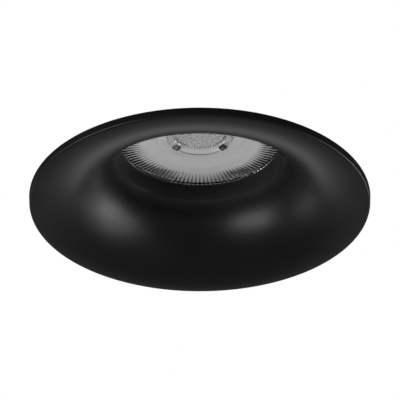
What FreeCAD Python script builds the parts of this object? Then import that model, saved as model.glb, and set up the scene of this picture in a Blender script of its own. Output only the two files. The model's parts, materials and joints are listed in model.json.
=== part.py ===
import FreeCAD, Part
import math
import os

from FreeCAD import Vector

# Recessed soffit downlight, millimetres. The origin is the centre of the ceiling face: the plane
# where the back of the flange meets the soffit board. +Z points up into the void above the board,
# the bell mouth opens downwards, and the two spring clips stand on +X (right) and -X (left).

# ---- Driving dimensions: lamp, 50 mm twist-lock reflector type ----
lamp_radius = 25.0
lamp_length = 46.5            # face to the end of the plug base, without the pins
lamp_rim_height = 5.0
lens_thickness = 2.6
lens_step_radius = 16.8       # the clear middle of the lens ends here and the ribbed ring begins
lens_recess = 1.4             # depth of the clear middle below the ribbed ring
optic_depth = 13.0            # face to the front of the light chip
fin_count = 18
fin_thickness = 1.3
pin_spacing = 10.0
pin_neck_radius = 1.55
pin_head_radius = 2.5
pin_head_height = 2.0
pin_length = 7.4
pin_root = 3.0                # length of a pin inside the base
capacitor_radius = 3.4
capacitor_height = 9.0
capacitor_offset = 2.6
transformer_length = 8.0
transformer_depth = 5.5
transformer_height = 6.5
component_floor = 2.0         # from the chamber's floor to the driver's components

# ---- Driving dimensions: die-cast bezel ----
cutout_radius = 42.5          # hole in the soffit board
spigot_clearance = 1.0
spigot_wall = 1.6
spigot_height = 3.0
flange_overlap = 7.7          # how far the flange covers the board round the hole
flange_thickness = 2.2
rim_draft = 0.2
rim_chamfer = 0.7
bell_depth = 20.0             # front edge to the start of the throat
bell_wall = 2.2
bell_back_steps = 2           # straight stretches that the back of the bell is cast in
throat_length = 3.9
throat_taper = 0.8
lip_overlap = 0.5             # radial cover of the lamp's edge
lip_land = 0.85
collar_wall = 2.0
lamp_clearance = 0.5
collar_above_ring = 3.6
gasket_depth = 0.7
gasket_land = 1.9
ring_wire_radius = 0.8
ring_gap_deg = 36.0
ring_end_height = 6.0
ring_sides = 4                # the ring is a square wire

# ---- Driving dimensions: spring clips ----
clip_offset = 5.5             # pivot outside the collar
clip_rest_deg = 12.0          # the arm points this far below level at rest
clip_board_gap = 2.8          # lowest point of the sleeve above the ceiling face at rest
clip_grip = 12.5              # reach of the arm past the edge of the hole in the board
clip_strip_thickness = 1.0
clip_cheek_radius = 2.8
clip_pin_radius = 1.25
clip_pin_proud = 0.8
lug_thickness = 2.5
lug_radius = 3.2
spring_wire_radius = 0.5
spring_wire_sides = 6         # flats that stand for the round wire
spring_turns = 2
spring_turn_gap = 0.65
sleeve_wall = 1.1
sleeve_length = 10.0

# ---- Driving dimensions: lampholder ----
holder_length = 30.0
holder_width = 20.0
holder_corner = 6.0
holder_body_height = 13.0
holder_cover_height = 9.0
twist_deg = 35.0
terminal_size = 6.0
terminal_length = 8.0
terminal_bore_radius = 1.4    # takes the bared end of a lead
wire_entry_radius = 1.7       # takes the lead with its insulation
screw_access_radius = 2.5
screw_radius = 1.5
screw_slot_width = 0.6
terminal_head_radius = 2.2
terminal_head_height = 1.5
cover_head_radius = 2.8
cover_head_height = 1.8
cover_screw_floor = 2.0       # left under the tip of a cover screw
cover_edge_chamfer = 0.8
contact_thickness = 0.6
contact_leaf_width = 4.4
contact_depth = 4.0

# ---- Named clearances ----
running_clearance = 0.05      # pin in a turning or press hole
free_gap = 0.3                # between pieces that move past each other
seat_gap = 0.05               # between pieces that rest on each other
part_gap = 0.2                # round a piece that drops into a pocket

# ---- Derived: bezel ----
spigot_radius = cutout_radius - spigot_clearance
spigot_bore = spigot_radius - spigot_wall
flange_radius = cutout_radius + flange_overlap
mouth_radius = flange_radius - rim_draft - rim_chamfer
lip_radius = lamp_radius - lip_overlap
throat_radius = lip_radius + throat_taper
throat_z = bell_depth - flange_thickness
lip_z = throat_z + throat_length
seat_z = lip_z + lip_land
lamp_z = seat_z + seat_gap
rim_back_z = lamp_z + lamp_rim_height
collar_bore = lamp_radius + lamp_clearance
collar_radius = collar_bore + collar_wall
ring_groove_radius = collar_bore + 0.75 * ring_wire_radius
ring_groove_height = 2 * ring_wire_radius + 2 * seat_gap
ring_groove_z = rim_back_z
collar_top = ring_groove_z + ring_groove_height + collar_above_ring
gasket_outer = flange_radius - gasket_land

# ---- Derived: spring clip, in the arm's own axes (u along the arm, w square to it) ----
coil_radius = clip_pin_radius + 0.4 + spring_wire_radius
coil_pitch = 2 * spring_wire_radius + spring_turn_gap
coil_half_length = 0.5 * spring_turns * coil_pitch
cheek_inner = coil_half_length + spring_wire_radius + free_gap
cheek_outer = cheek_inner + clip_strip_thickness
lug_inner = cheek_outer + free_gap
lug_outer = lug_inner + lug_thickness
strip_top = -(coil_radius + spring_wire_radius + free_gap)
strip_bottom = strip_top - clip_strip_thickness
sleeve_bottom = strip_bottom - sleeve_wall
rest = math.radians(clip_rest_deg)
pivot_x = collar_radius + clip_offset
clip_tip = (cutout_radius + clip_grip - pivot_x) / math.cos(rest)
strip_end = clip_tip - sleeve_wall
pivot_z = clip_board_gap + clip_tip * math.sin(rest) - sleeve_bottom * math.cos(rest)

# ---- Derived: lamp and lampholder levels ----
optic_z = lamp_z + optic_depth
led_height = 0.8
board_thickness = 1.2
board_z = optic_z + part_gap + led_height
sink_floor_z = board_z + board_thickness
sink_floor_thickness = 3.0
chamber_z = sink_floor_z + sink_floor_thickness
base_z = lamp_z + lamp_length
sink_end_z = base_z - 12.5
head_z = base_z + pin_length - pin_head_height
holder_z = base_z + part_gap
plate_top = head_z - 0.5
cover_z = holder_z + holder_body_height
holder_top = cover_z + holder_cover_height
pin_radius_from_axis = pin_spacing / 2


def point(radius, height):
    """A point of a profile in the XZ plane."""
    return Vector(radius, 0, height)


def polyline(points):
    """Straight edges through the points, left open."""
    edges = []
    for start, end in zip(points, points[1:]):
        edges.append(Part.makeLine(start, end))
    return edges


def polygon_face(points):
    """A flat face inside a closed polygon."""
    return Part.Face(Part.makePolygon(list(points) + [points[0]]))


def turned(edges):
    """Turn a closed profile in the XZ plane about the Z axis."""
    face = Part.Face(Part.Wire(Part.__sortEdges__(edges)))
    return face.revolve(Vector(0, 0, 0), Vector(0, 0, 1), 360)


def turned_polygon(pairs):
    """Turn a closed polygon, given as (radius, height) pairs, about the Z axis."""
    face = polygon_face([point(radius, height) for radius, height in pairs])
    return face.revolve(Vector(0, 0, 0), Vector(0, 0, 1), 360)


def bell_curve(outer_radius, inner_radius, centre_z, depth):
    """Quarter ellipse of a bell wall, from its throat out to the mouth."""
    centre = point(outer_radius, centre_z)
    reach = outer_radius - inner_radius
    towards_axis = centre + Vector(-reach, 0, 0)
    towards_room = centre + Vector(0, 0, -depth)
    if reach >= depth:
        ellipse = Part.Ellipse(towards_axis, towards_room, centre)
    else:
        ellipse = Part.Ellipse(towards_room, towards_axis, centre)
    return Part.ArcOfEllipse(ellipse, 0, math.pi / 2).toShape()


def bell_back_points():
    """Break points of the bell's back, from the collar out to the spigot's bore."""
    reach = mouth_radius - collar_radius
    depth = bell_depth - bell_wall
    last = math.acos((mouth_radius - spigot_bore) / reach)
    places = []
    for step in range(bell_back_steps + 1):
        angle = last * step / bell_back_steps
        radius = mouth_radius - reach * math.cos(angle)
        places.append(point(radius, throat_z - depth * math.sin(angle)))
    return places


def cylinder(radius, start, end):
    """A round bar between two points."""
    axis = end - start
    return Part.makeCylinder(radius, axis.Length, start, axis)


def block(x0, x1, y0, y1, z0, z1):
    """A box between two corners."""
    return Part.makeBox(x1 - x0, y1 - y0, z1 - z0, Vector(x0, y0, z0))


def slab(length, width, corner, z0, z1):
    """An upright slab with cut-off corners, centred on the Z axis."""
    solid = block(-length / 2, length / 2, -width / 2, width / 2, z0, z1)
    upright = [e for e in solid.Edges if abs(e.Vertexes[0].Z - e.Vertexes[-1].Z) > 0.5 * (z1 - z0)]
    return solid.makeChamfer(corner, upright)


def extruded(points, y0, y1):
    """A polygon in the XZ plane, extruded along Y."""
    face = polygon_face(points)
    face.translate(Vector(0, y0, 0))
    return face.extrude(Vector(0, y1 - y0, 0))


def polar_copies(shape, count, first_deg=0.0):
    """Copies of a shape at even angles round the Z axis."""
    copies = []
    for index in range(count):
        copy = shape.copy()
        copy.rotate(Vector(0, 0, 0), Vector(0, 0, 1), first_deg + 360.0 * index / count)
        copies.append(copy)
    return copies


def arc_from(start, corner, end):
    """Circular arc from start to end that is tangent to the lines to their shared corner."""
    middle = (start + end) * 0.5
    chord = (end - start).Length
    to_corner = corner - middle
    half_turn = math.atan2(to_corner.Length, chord / 2)
    rise = chord / 2 * math.tan(half_turn / 2)
    return Part.Arc(start, middle + to_corner.normalize() * rise, end).toShape()


def biarc(start, start_dir, end, end_dir):
    """Two tangent arcs that join two points along their directions."""
    span = end - start
    both = start_dir + end_dir
    spread = 2 * (1 - start_dir.dot(end_dir))
    root = math.sqrt(span.dot(both) ** 2 + spread * span.dot(span))
    reach = (root - span.dot(both)) / spread
    first_corner = start + start_dir * reach
    second_corner = end - end_dir * reach
    joint = (first_corner + second_corner) * 0.5
    return [arc_from(start, first_corner, joint), arc_from(joint, second_corner, end)]


def tube(edges, reach, sides, facing):
    """A wire with flats that reach this far from its path; the first flat looks along facing."""
    path = Part.Wire(edges)
    first = edges[0]
    start = first.valueAt(first.FirstParameter)
    along = first.tangentAt(first.FirstParameter)
    beside = along.cross(facing).normalize()
    ahead = beside.cross(along)
    corner_reach = reach / math.cos(math.pi / sides)
    corners = []
    for side in range(sides):
        angle = 2 * math.pi * (side + 0.5) / sides
        corners.append(start + (ahead * math.cos(angle) + beside * math.sin(angle)) * corner_reach)
    section = Part.makePolygon(corners + [corners[0]])
    return path.makePipeShell([section], True, False)


def least_gap(edges, radius):
    """Least gap between stretches of a bent wire that are not neighbours, on points of its path."""
    places = []
    travelled = 0.0
    for edge in edges:
        count = max(2, math.ceil(edge.Length / radius))
        places += [(travelled + edge.Length * k / count, edge.valueAt(edge.getParameterByLength(
            edge.Length * k / count))) for k in range(count)]
        travelled += edge.Length
    apart = math.pi * coil_radius
    gaps = []
    for index, (length, place) in enumerate(places):
        for other_length, other in places[index + 1:]:
            if other_length - length > apart:
                gaps.append(place.distanceToPoint(other) - 2 * radius)
    return min(gaps)


# ---- Bezel, its gasket and its wire ring ----

def bezel_body():
    """The turned form: rim, bell, throat, lip, collar, spigot and gasket groove."""
    edges = [bell_curve(mouth_radius, throat_radius, throat_z, bell_depth)]
    back = bell_back_points()
    edges += polyline([
        point(mouth_radius, -flange_thickness),
        point(flange_radius - rim_draft, rim_chamfer - flange_thickness),
        point(flange_radius, 0),
        point(gasket_outer, 0),
        point(gasket_outer, -gasket_depth),
        point(spigot_radius, -gasket_depth),
        point(spigot_radius, spigot_height),
        point(spigot_bore, spigot_height),
    ] + back[::-1] + [
        point(collar_radius, collar_top),
        point(collar_bore, collar_top),
        point(collar_bore, ring_groove_z + ring_groove_height),
        point(ring_groove_radius, ring_groove_z + ring_groove_height),
        point(ring_groove_radius, ring_groove_z),
        point(collar_bore, ring_groove_z),
        point(collar_bore, seat_z),
        point(lip_radius, seat_z),
        point(lip_radius, lip_z),
        point(throat_radius, throat_z),
    ])
    return turned(edges)


def behind_the_bell():
    """The space behind the middle of the bell's wall, which trims the foot of each lug."""
    half = bell_wall / 2
    inner = collar_radius - collar_wall / 2
    high = collar_top + bell_depth
    edges = [bell_curve(mouth_radius, inner, throat_z, bell_depth - half)]
    edges += polyline([
        point(mouth_radius, throat_z - bell_depth + half),
        point(mouth_radius, high),
        point(inner, high),
        point(inner, throat_z),
    ])
    return turned(edges)


def arm_point(u, w):
    """A point of the right arm's plane, from the arm's own axes at rest."""
    x = pivot_x + u * math.cos(rest) + w * math.sin(rest)
    z = pivot_z - u * math.sin(rest) + w * math.cos(rest)
    return Vector(x, 0, z)


def clip_seat():
    """Two lugs for one pivot pin, and the web that stops the arm at rest, untrimmed."""
    pivot = arm_point(0, 0)
    foot_inner = pivot_x - 1.1 * lug_radius
    foot_outer = pivot_x + 1.6 * lug_radius
    low = -flange_thickness
    outline = [
        Vector(foot_inner, 0, low),
        Vector(foot_inner, 0, pivot_z - 0.5 * lug_radius),
        pivot + Vector(-0.94 * lug_radius, 0, 0.34 * lug_radius),
        pivot + Vector(0.87 * lug_radius, 0, 0.5 * lug_radius),
        Vector(foot_outer, 0, pivot_z - 1.5 * lug_radius),
        Vector(foot_outer, 0, low),
    ]
    pieces = []
    for y0 in (lug_inner, -lug_outer):
        y1 = y0 + lug_thickness
        lug = extruded(outline, y0, y1)
        eye = cylinder(lug_radius, pivot + Vector(0, y0, 0), pivot + Vector(0, y1, 0))
        pieces.append(lug.fuse(eye))
    web_start = 2 * clip_cheek_radius
    web_end = web_start + 2 * clip_strip_thickness
    stop_inner = arm_point(web_start, strip_bottom - seat_gap)
    stop_outer = arm_point(web_end, strip_bottom - seat_gap)
    web_outline = [
        Vector(stop_inner.x, 0, low),
        stop_inner,
        stop_outer,
        Vector(stop_outer.x, 0, low),
    ]
    pieces.append(extruded(web_outline, -lug_outer, lug_outer))
    return pieces[0].multiFuse(pieces[1:])


def bezel():
    """Die-cast bezel with its lugs, pin holes and the notch for the ends of the wire ring."""
    seat = clip_seat().common(behind_the_bell())
    solid = bezel_body().multiFuse(polar_copies(seat, 2))
    reach = lug_outer + lug_thickness
    pivot = arm_point(0, 0)
    hole = cylinder(
        clip_pin_radius + running_clearance, pivot + Vector(0, -reach, 0), pivot + Vector(0, reach, 0)
    )
    notch_half = ring_groove_radius * math.sin(math.radians(ring_gap_deg / 2)) + 2 * ring_wire_radius
    notch = block(
        -notch_half, notch_half, -collar_radius - 1, -0.8 * collar_bore, ring_groove_z, collar_top + 1
    )
    tools = polar_copies(hole, 2) + [notch]
    return solid.cut(tools).removeSplitter()


def ceiling_gasket():
    """Foam ring in the back of the flange, at its pressed height, flush with the ceiling face."""
    outer = gasket_outer - seat_gap
    return turned_polygon([
        (cutout_radius, -gasket_depth),
        (outer, -gasket_depth),
        (outer, 0),
        (cutout_radius, 0),
    ])


def retaining_ring():
    """Open wire ring that snaps in behind the lamp's rim; its two ends stand up as finger grips."""
    radius = ring_groove_radius - ring_wire_radius - seat_gap
    height = ring_groove_z + ring_wire_radius + seat_gap
    half_gap = math.radians(ring_gap_deg / 2)
    bend = 2.5 * ring_wire_radius

    up = Vector(0, 0, 1)

    def outward(angle):
        return Vector(math.sin(angle), -math.cos(angle), 0)

    def on_ring(angle):
        return outward(angle) * radius + up * height

    def heading(angle):
        return Vector(math.cos(angle), math.sin(angle), 0)

    first, last = half_gap, 2 * math.pi - half_gap
    start, end = on_ring(first), on_ring(last)
    start_corner = start - heading(first) * bend
    end_corner = end + heading(last) * bend
    half = Part.Arc(start, on_ring((first + math.pi) / 2), on_ring(math.pi)).toShape()
    other = Part.Arc(on_ring(math.pi), on_ring((last + math.pi) / 2), end).toShape()
    rise = up * bend
    top = up * ring_end_height
    edges = [
        Part.makeLine(start_corner + top, start_corner + rise),
        arc_from(start_corner + rise, start_corner, start),
        half,
        other,
        arc_from(end, end_corner, end_corner + rise),
        Part.makeLine(end_corner + rise, end_corner + top),
    ]
    return tube(edges, ring_wire_radius, ring_sides, outward(first))


# ---- Lamp ----

lens_radius = lamp_radius - seat_gap
lens_back_z = lamp_z + lens_thickness
sink_neck = lamp_radius - 1.6
board_radius = 12.0
light_well_radius = board_radius + 1.5
emitter_radius = 3.6
chamber_radius = 10.5
sink_end_radius = 13.0
fin_end_radius = 15.2
base_radius = 12.0


def lamp_lens():
    """Clear front lens: a flat outer ring round a recessed clear middle."""
    return turned_polygon([
        (0, lens_back_z),
        (0, lamp_z + lens_recess),
        (lens_step_radius - 0.6, lamp_z + lens_recess),
        (lens_step_radius, lamp_z),
        (lens_radius, lamp_z),
        (lens_radius, lens_back_z),
    ])


def lamp_heatsink():
    """Cast cup with radial fins: holds the lens in front, the light board and the driver behind."""
    shell = turned_polygon([
        (lamp_radius, lens_back_z),
        (lamp_radius, rim_back_z),
        (sink_neck - 4.2, rim_back_z),
        (sink_end_radius, sink_end_z),
        (chamber_radius, sink_end_z),
        (chamber_radius, chamber_z),
        (0, chamber_z),
        (0, sink_floor_z),
        (light_well_radius, sink_floor_z),
        (light_well_radius, lens_back_z),
    ])
    half = fin_thickness / 2
    fin = extruded([
        point(sink_neck - 5.0, rim_back_z),
        point(sink_neck, rim_back_z),
        point(sink_neck - 1.2, rim_back_z + 8.0),
        point(fin_end_radius, sink_end_z - 1.0),
        point(fin_end_radius - 1.0, sink_end_z),
        point(sink_end_radius - 1.0, sink_end_z),
    ], -half, half)
    return shell.multiFuse(polar_copies(fin, fin_count)).removeSplitter()


def led_board():
    """Round light board on the floor of the heat sink."""
    return cylinder(board_radius, point(0, board_z), point(0, sink_floor_z))


def led_emitter():
    """Light chip on the board, under the dome of the lens."""
    return cylinder(emitter_radius, point(0, board_z - led_height), point(0, board_z))


def driver_board():
    """Upright driver board across the chamber."""
    half_width = chamber_radius - part_gap
    half = board_thickness / 2
    corner = math.sqrt(half_width ** 2 - half ** 2)
    top = sink_end_z - seat_gap
    return block(-corner, corner, -half, half, chamber_z + part_gap, top)


def driver_components():
    """Capacitor on one side of the driver board and transformer on the other."""
    half = board_thickness / 2
    low = chamber_z + component_floor
    foot = Vector(-capacitor_offset, half + capacitor_radius, low)
    can = cylinder(capacitor_radius, foot, foot + Vector(0, 0, capacitor_height))
    half_length = transformer_length / 2
    core = block(
        -half_length, half_length, -half - transformer_depth, -half, low, low + transformer_height
    )
    return Part.makeCompound([can, core])


def pin_places():
    """Centres of the two lamp pins, on the end face of the base."""
    return [Vector(side * pin_radius_from_axis, 0, base_z) for side in (1, -1)]


def lamp_base():
    """Moulded plug base: a round boss on the heat sink that carries the pins."""
    base = cylinder(base_radius, point(0, sink_end_z), point(0, base_z))
    tools = []
    for place in pin_places():
        bottom = place - Vector(0, 0, pin_root)
        tools.append(cylinder(pin_neck_radius + running_clearance, bottom, place + Vector(0, 0, 1)))
    return base.cut(tools)


def lamp_pins():
    """Two contact pins with wide heads."""
    pins = []
    for place in pin_places():
        head = Vector(place.x, 0, head_z)
        stem = cylinder(pin_neck_radius, place - Vector(0, 0, pin_root), head)
        cap = cylinder(pin_head_radius, head, head + Vector(0, 0, pin_head_height))
        pins.append(stem.fuse(cap))
    return Part.makeCompound(pins)


# ---- Lampholder ----

screw_x = holder_length / 2 - 3.2
terminal_x = pin_radius_from_axis + 0.5
terminal_z = cover_z + seat_gap
terminal_top = terminal_z + terminal_size
wire_z = terminal_z + 2.4
cavity_radius = pin_radius_from_axis + pin_head_radius + 0.9


def arc_slot(radius, half_width, start_deg, end_deg, z0, z1):
    """A slot that follows a circle about the Z axis, with square ends."""
    inner, outer = radius - half_width, radius + half_width
    ring = cylinder(outer, Vector(0, 0, z0), Vector(0, 0, z1))
    ring = ring.cut(cylinder(inner, Vector(0, 0, z0), Vector(0, 0, z1)))
    wedge_points = [Vector(0, 0, z0)]
    steps = 4
    for step in range(steps + 1):
        angle = math.radians(start_deg + (end_deg - start_deg) * step / steps)
        wedge_points.append(Vector(2 * outer * math.cos(angle), 2 * outer * math.sin(angle), z0))
    wedge = polygon_face(wedge_points).extrude(Vector(0, 0, z1 - z0))
    return ring.common(wedge)


def lampholder_body():
    """Ceramic body: twist-lock keyholes through its face and a round chamber behind them."""
    body = slab(holder_length, holder_width, holder_corner, holder_z, cover_z)
    low, high = holder_z - 1, plate_top + 1
    slot_half = pin_neck_radius + free_gap
    entry = pin_head_radius + free_gap
    keyhole = arc_slot(pin_radius_from_axis, slot_half, -twist_deg, 0, low, high)
    seat = Vector(pin_radius_from_axis, 0, low)
    keyhole = keyhole.fuse(cylinder(slot_half, seat, seat + Vector(0, 0, high - low)))
    turn = math.radians(-twist_deg)
    way_in = Vector(pin_radius_from_axis * math.cos(turn), pin_radius_from_axis * math.sin(turn), low)
    keyhole = keyhole.fuse(cylinder(entry, way_in, way_in + Vector(0, 0, high - low)))
    tools = polar_copies(keyhole, 2)
    tools.append(cylinder(cavity_radius, Vector(0, 0, plate_top), Vector(0, 0, cover_z + 1)))
    for side in (1, -1):
        x = side * screw_x
        tools.append(
            cylinder(screw_radius + running_clearance, Vector(x, 0, plate_top), Vector(x, 0, cover_z + 1))
        )
    return body.cut(tools)


def lampholder_cover():
    """Ceramic cover over the terminals, with wire entries in one side and screw access on top."""
    cover = slab(holder_length, holder_width, holder_corner, cover_z, holder_top)
    top_edges = [e for e in cover.Edges if e.BoundBox.ZMin > holder_top - 0.01]
    cover = cover.makeChamfer(cover_edge_chamfer, top_edges)
    tools = []
    half_x = terminal_size / 2 + part_gap
    half_y = terminal_length / 2 + part_gap
    for side in (1, -1):
        x = side * terminal_x
        tools.append(
            block(x - half_x, x + half_x, -half_y, half_y, cover_z - 1, terminal_top + part_gap)
        )
        tools.append(cylinder(wire_entry_radius, Vector(x, -holder_width, wire_z), Vector(x, 0, wire_z)))
        tools.append(cylinder(screw_access_radius, Vector(x, 0, cover_z), Vector(x, 0, holder_top + 1)))
        hole = Vector(side * screw_x, 0, cover_z - 1)
        tools.append(
            cylinder(screw_radius + running_clearance, hole, hole + Vector(0, 0, holder_cover_height + 2))
        )
    return cover.cut(tools)


def lampholder_contacts():
    """Two brass contacts: a leaf over the pin head, a tongue and a terminal block for the wire."""
    contacts = []
    leaf_z = head_z + pin_head_height + free_gap
    leaf_top = leaf_z + contact_thickness
    half = terminal_size / 2
    half_y = terminal_length / 2
    half_tongue = contact_thickness / 2
    half_leaf = contact_leaf_width / 2
    half_depth = contact_depth / 2
    for side in (1, -1):
        x = side * terminal_x
        body = block(x - half, x + half, -half_y, half_y, terminal_z, terminal_top)
        tongue = block(
            x - half_tongue, x + half_tongue, -half_depth, half_depth, leaf_z, terminal_z
        )
        centre = side * pin_radius_from_axis
        leaf = block(
            centre - half_leaf, centre + half_leaf, -half_depth, half_depth, leaf_z, leaf_top
        )
        wire_way = cylinder(
            terminal_bore_radius, Vector(x, -half_y - 1, wire_z), Vector(x, half_y + 1, wire_z)
        )
        screw_way = cylinder(
            screw_radius + running_clearance, Vector(x, 0, wire_z), Vector(x, 0, terminal_top + 1)
        )
        contacts.append(body.multiFuse([tongue, leaf]).cut([wire_way, screw_way]).removeSplitter())
    return Part.makeCompound(contacts)


def slotted_screw(x, tip_z, under_head_z, head_radius, head_height):
    """A screw on an upright axis, with a slot across its head."""
    top = under_head_z + head_height
    shank = cylinder(screw_radius, Vector(x, 0, tip_z), Vector(x, 0, under_head_z))
    head = cylinder(head_radius, Vector(x, 0, under_head_z), Vector(x, 0, top))
    half_slot = screw_slot_width / 2
    reach = 2 * head_radius
    slot = block(x - reach, x + reach, -half_slot, half_slot, top - 0.45 * head_height, top + 1)
    return shank.fuse(head).cut(slot)


def terminal_screws():
    """Clamping screws of the two terminals."""
    tip = wire_z + terminal_bore_radius + seat_gap
    screws = []
    for side in (1, -1):
        x = side * terminal_x
        screws.append(
            slotted_screw(x, tip, terminal_top, terminal_head_radius, terminal_head_height)
        )
    return Part.makeCompound(screws)


def cover_screws():
    """The two screws that hold the cover on the ceramic body."""
    tip = plate_top + cover_screw_floor
    screws = []
    for side in (1, -1):
        x = side * screw_x
        screws.append(slotted_screw(x, tip, holder_top, cover_head_radius, cover_head_height))
    return Part.makeCompound(screws)


# ---- Spring clips, modelled for the right side ----

def seated(shape):
    """Move a shape from the arm's own axes to its place on the right lugs, at rest."""
    shape.rotate(Vector(0, 0, 0), Vector(0, 1, 0), clip_rest_deg)
    shape.translate(Vector(pivot_x, 0, pivot_z))
    return shape


strip_start = 0.4 * clip_cheek_radius


def strip():
    """Flat strip of the arm, from under the coil to the tip."""
    return block(strip_start, strip_end, -cheek_outer, cheek_outer, strip_bottom, strip_top)


def clip_arm():
    """Pressed steel arm: a strip with two folded cheeks that turn on the pivot pin."""
    gusset_end = 3.4 * clip_cheek_radius
    outline = [
        point(0, clip_cheek_radius),
        point(0.5 * clip_cheek_radius, 0.87 * clip_cheek_radius),
        point(gusset_end, strip_top),
        point(gusset_end, strip_bottom),
        point(0, strip_bottom),
        point(-0.87 * clip_cheek_radius, -0.5 * clip_cheek_radius),
    ]
    pieces = [strip()]
    for y0 in (cheek_inner, -cheek_outer):
        y1 = y0 + clip_strip_thickness
        pieces.append(extruded(outline, y0, y1))
        pieces.append(cylinder(clip_cheek_radius, Vector(0, y0, 0), Vector(0, y1, 0)))
    arm = pieces[0].multiFuse(pieces[1:])
    hole_radius = clip_pin_radius + running_clearance
    hole = cylinder(hole_radius, Vector(0, -lug_outer, 0), Vector(0, lug_outer, 0))
    window_end = strip_end - sleeve_length
    window = block(window_end - 3.0, window_end - 1.0, -0.5 * cheek_outer, 0.5 * cheek_outer, -9, 0)
    return seated(arm.cut([hole, window]).removeSplitter())


def clip_sleeve():
    """Soft boot on the arm's tip, which grips the board."""
    outer = cheek_outer + sleeve_wall
    start = clip_tip - sleeve_length
    boot = block(start, clip_tip, -outer, outer, sleeve_bottom, strip_top + sleeve_wall)
    boot = boot.makeChamfer(0.5 * sleeve_wall, boot.Edges)
    return seated(boot.cut(strip()))


def clip_pin():
    """Plain pivot pin through both lugs, a little proud of each."""
    reach = Vector(0, lug_outer + clip_pin_proud, 0)
    pivot = arm_point(0, 0)
    return cylinder(clip_pin_radius, pivot - reach, pivot + reach)


def clip_spring():
    """Torsion spring round the pin: one leg leans on the collar and the other presses the arm."""
    leg_deg = 60.0
    first = math.radians(-90 - clip_rest_deg - leg_deg)
    last = math.radians(-90 - clip_rest_deg) + 2 * math.pi * spring_turns
    sweep = last - first
    rise = 2 * coil_half_length / sweep
    slope = math.hypot(coil_radius, rise)

    def on_coil(angle):
        y = -coil_half_length + rise * (angle - first)
        x = pivot_x + coil_radius * math.cos(angle)
        return Vector(x, y, pivot_z + coil_radius * math.sin(angle))

    def heading(angle):
        """Direction of the wire, which runs square to the pin where the coil turns into a leg."""
        if angle in (first, last):
            return Vector(-math.sin(angle), 0, math.cos(angle))
        along = coil_radius / slope
        return Vector(-math.sin(angle) * along, rise / slope, math.cos(angle) * along)

    steps = 2 * spring_turns + 1
    edges = []
    angles = [first + sweep * step / steps for step in range(steps)] + [last]
    for start, end in zip(angles, angles[1:]):
        edges += biarc(on_coil(start), heading(start), on_coil(end), heading(end))
    back = heading(first) * -1
    wall = collar_radius + spring_wire_radius + seat_gap
    back_length = (on_coil(first).x - wall) / abs(back.x)
    back_end = on_coil(first) + back * back_length
    front_end = on_coil(last) + heading(last) * (2.4 * clip_cheek_radius)
    edges.insert(0, Part.makeLine(back_end, on_coil(first)))
    edges.append(Part.makeLine(on_coil(last), front_end))
    gap = least_gap(edges, spring_wire_radius)
    print("clip spring: least gap between its turns", round(gap, 3), "mm")
    return tube(edges, spring_wire_radius, spring_wire_sides, Vector(0, 1, 0))


def both_sides(name, shape):
    """The right-hand piece and its twin, turned half a turn about the Z axis."""
    right, left = polar_copies(shape, 2)
    return {name + "_right": right, name + "_left": left}


nodes = {
    "bezel": bezel(),
    "ceiling_gasket": ceiling_gasket(),
    "lamp_retaining_ring": retaining_ring(),
    "lamp_lens": lamp_lens(),
    "lamp_heatsink": lamp_heatsink(),
    "led_board": led_board(),
    "led_emitter": led_emitter(),
    "driver_board": driver_board(),
    "driver_components": driver_components(),
    "lamp_base": lamp_base(),
    "lamp_pins": lamp_pins(),
    "lampholder_body": lampholder_body(),
    "lampholder_cover": lampholder_cover(),
    "lampholder_contacts": lampholder_contacts(),
    "terminal_screws": terminal_screws(),
    "cover_screws": cover_screws(),
}
nodes.update(both_sides("clip_arm", clip_arm()))
nodes.update(both_sides("clip_sleeve", clip_sleeve()))
nodes.update(both_sides("clip_pin", clip_pin()))
nodes.update(both_sides("clip_spring", clip_spring()))

os.makedirs("parts", exist_ok=True)
for name, shape in nodes.items():
    shape.exportStep("parts/" + name + ".step")
    print(name, "solids", len(shape.Solids), "valid", shape.isValid(), "mm3", round(shape.Volume, 1))
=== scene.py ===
"""Looks of a recessed soffit downlight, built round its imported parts.

All sizes are in metres. The origin is the centre of the ceiling face, +Z points up into the void
above the board, and the bell mouth opens downwards. The camera stands below and in front (-Y).
"""

import json
import logging
import math
from collections.abc import Callable, Iterator, Sequence
from contextlib import contextmanager
from dataclasses import dataclass
from enum import Enum

import bpy
from mathutils import Matrix, Vector


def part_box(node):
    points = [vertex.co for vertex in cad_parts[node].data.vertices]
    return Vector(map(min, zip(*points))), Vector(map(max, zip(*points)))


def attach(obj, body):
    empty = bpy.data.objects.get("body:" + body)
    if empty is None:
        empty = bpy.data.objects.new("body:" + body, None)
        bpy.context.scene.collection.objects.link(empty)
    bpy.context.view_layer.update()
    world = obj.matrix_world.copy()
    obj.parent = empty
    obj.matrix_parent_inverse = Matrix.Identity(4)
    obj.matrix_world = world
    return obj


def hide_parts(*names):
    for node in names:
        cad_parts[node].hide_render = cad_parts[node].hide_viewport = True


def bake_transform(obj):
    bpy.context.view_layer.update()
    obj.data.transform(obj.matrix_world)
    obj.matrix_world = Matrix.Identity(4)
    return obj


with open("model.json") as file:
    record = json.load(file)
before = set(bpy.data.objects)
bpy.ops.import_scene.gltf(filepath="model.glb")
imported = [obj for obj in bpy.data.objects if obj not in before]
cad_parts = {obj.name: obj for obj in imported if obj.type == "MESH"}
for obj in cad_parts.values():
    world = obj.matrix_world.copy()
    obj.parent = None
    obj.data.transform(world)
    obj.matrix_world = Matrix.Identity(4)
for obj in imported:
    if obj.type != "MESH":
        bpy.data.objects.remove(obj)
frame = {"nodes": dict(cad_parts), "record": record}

LOG = logging.getLogger("downlight")
MM = 0.001
WELD = 0.0015 * MM
FULL_TURN = 2 * math.pi
CUTOUT_RADIUS = 42.5 * MM

Profile = list[tuple[float, float]]


# ---- Bench work: modelling steps shared by every piece ----


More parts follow.
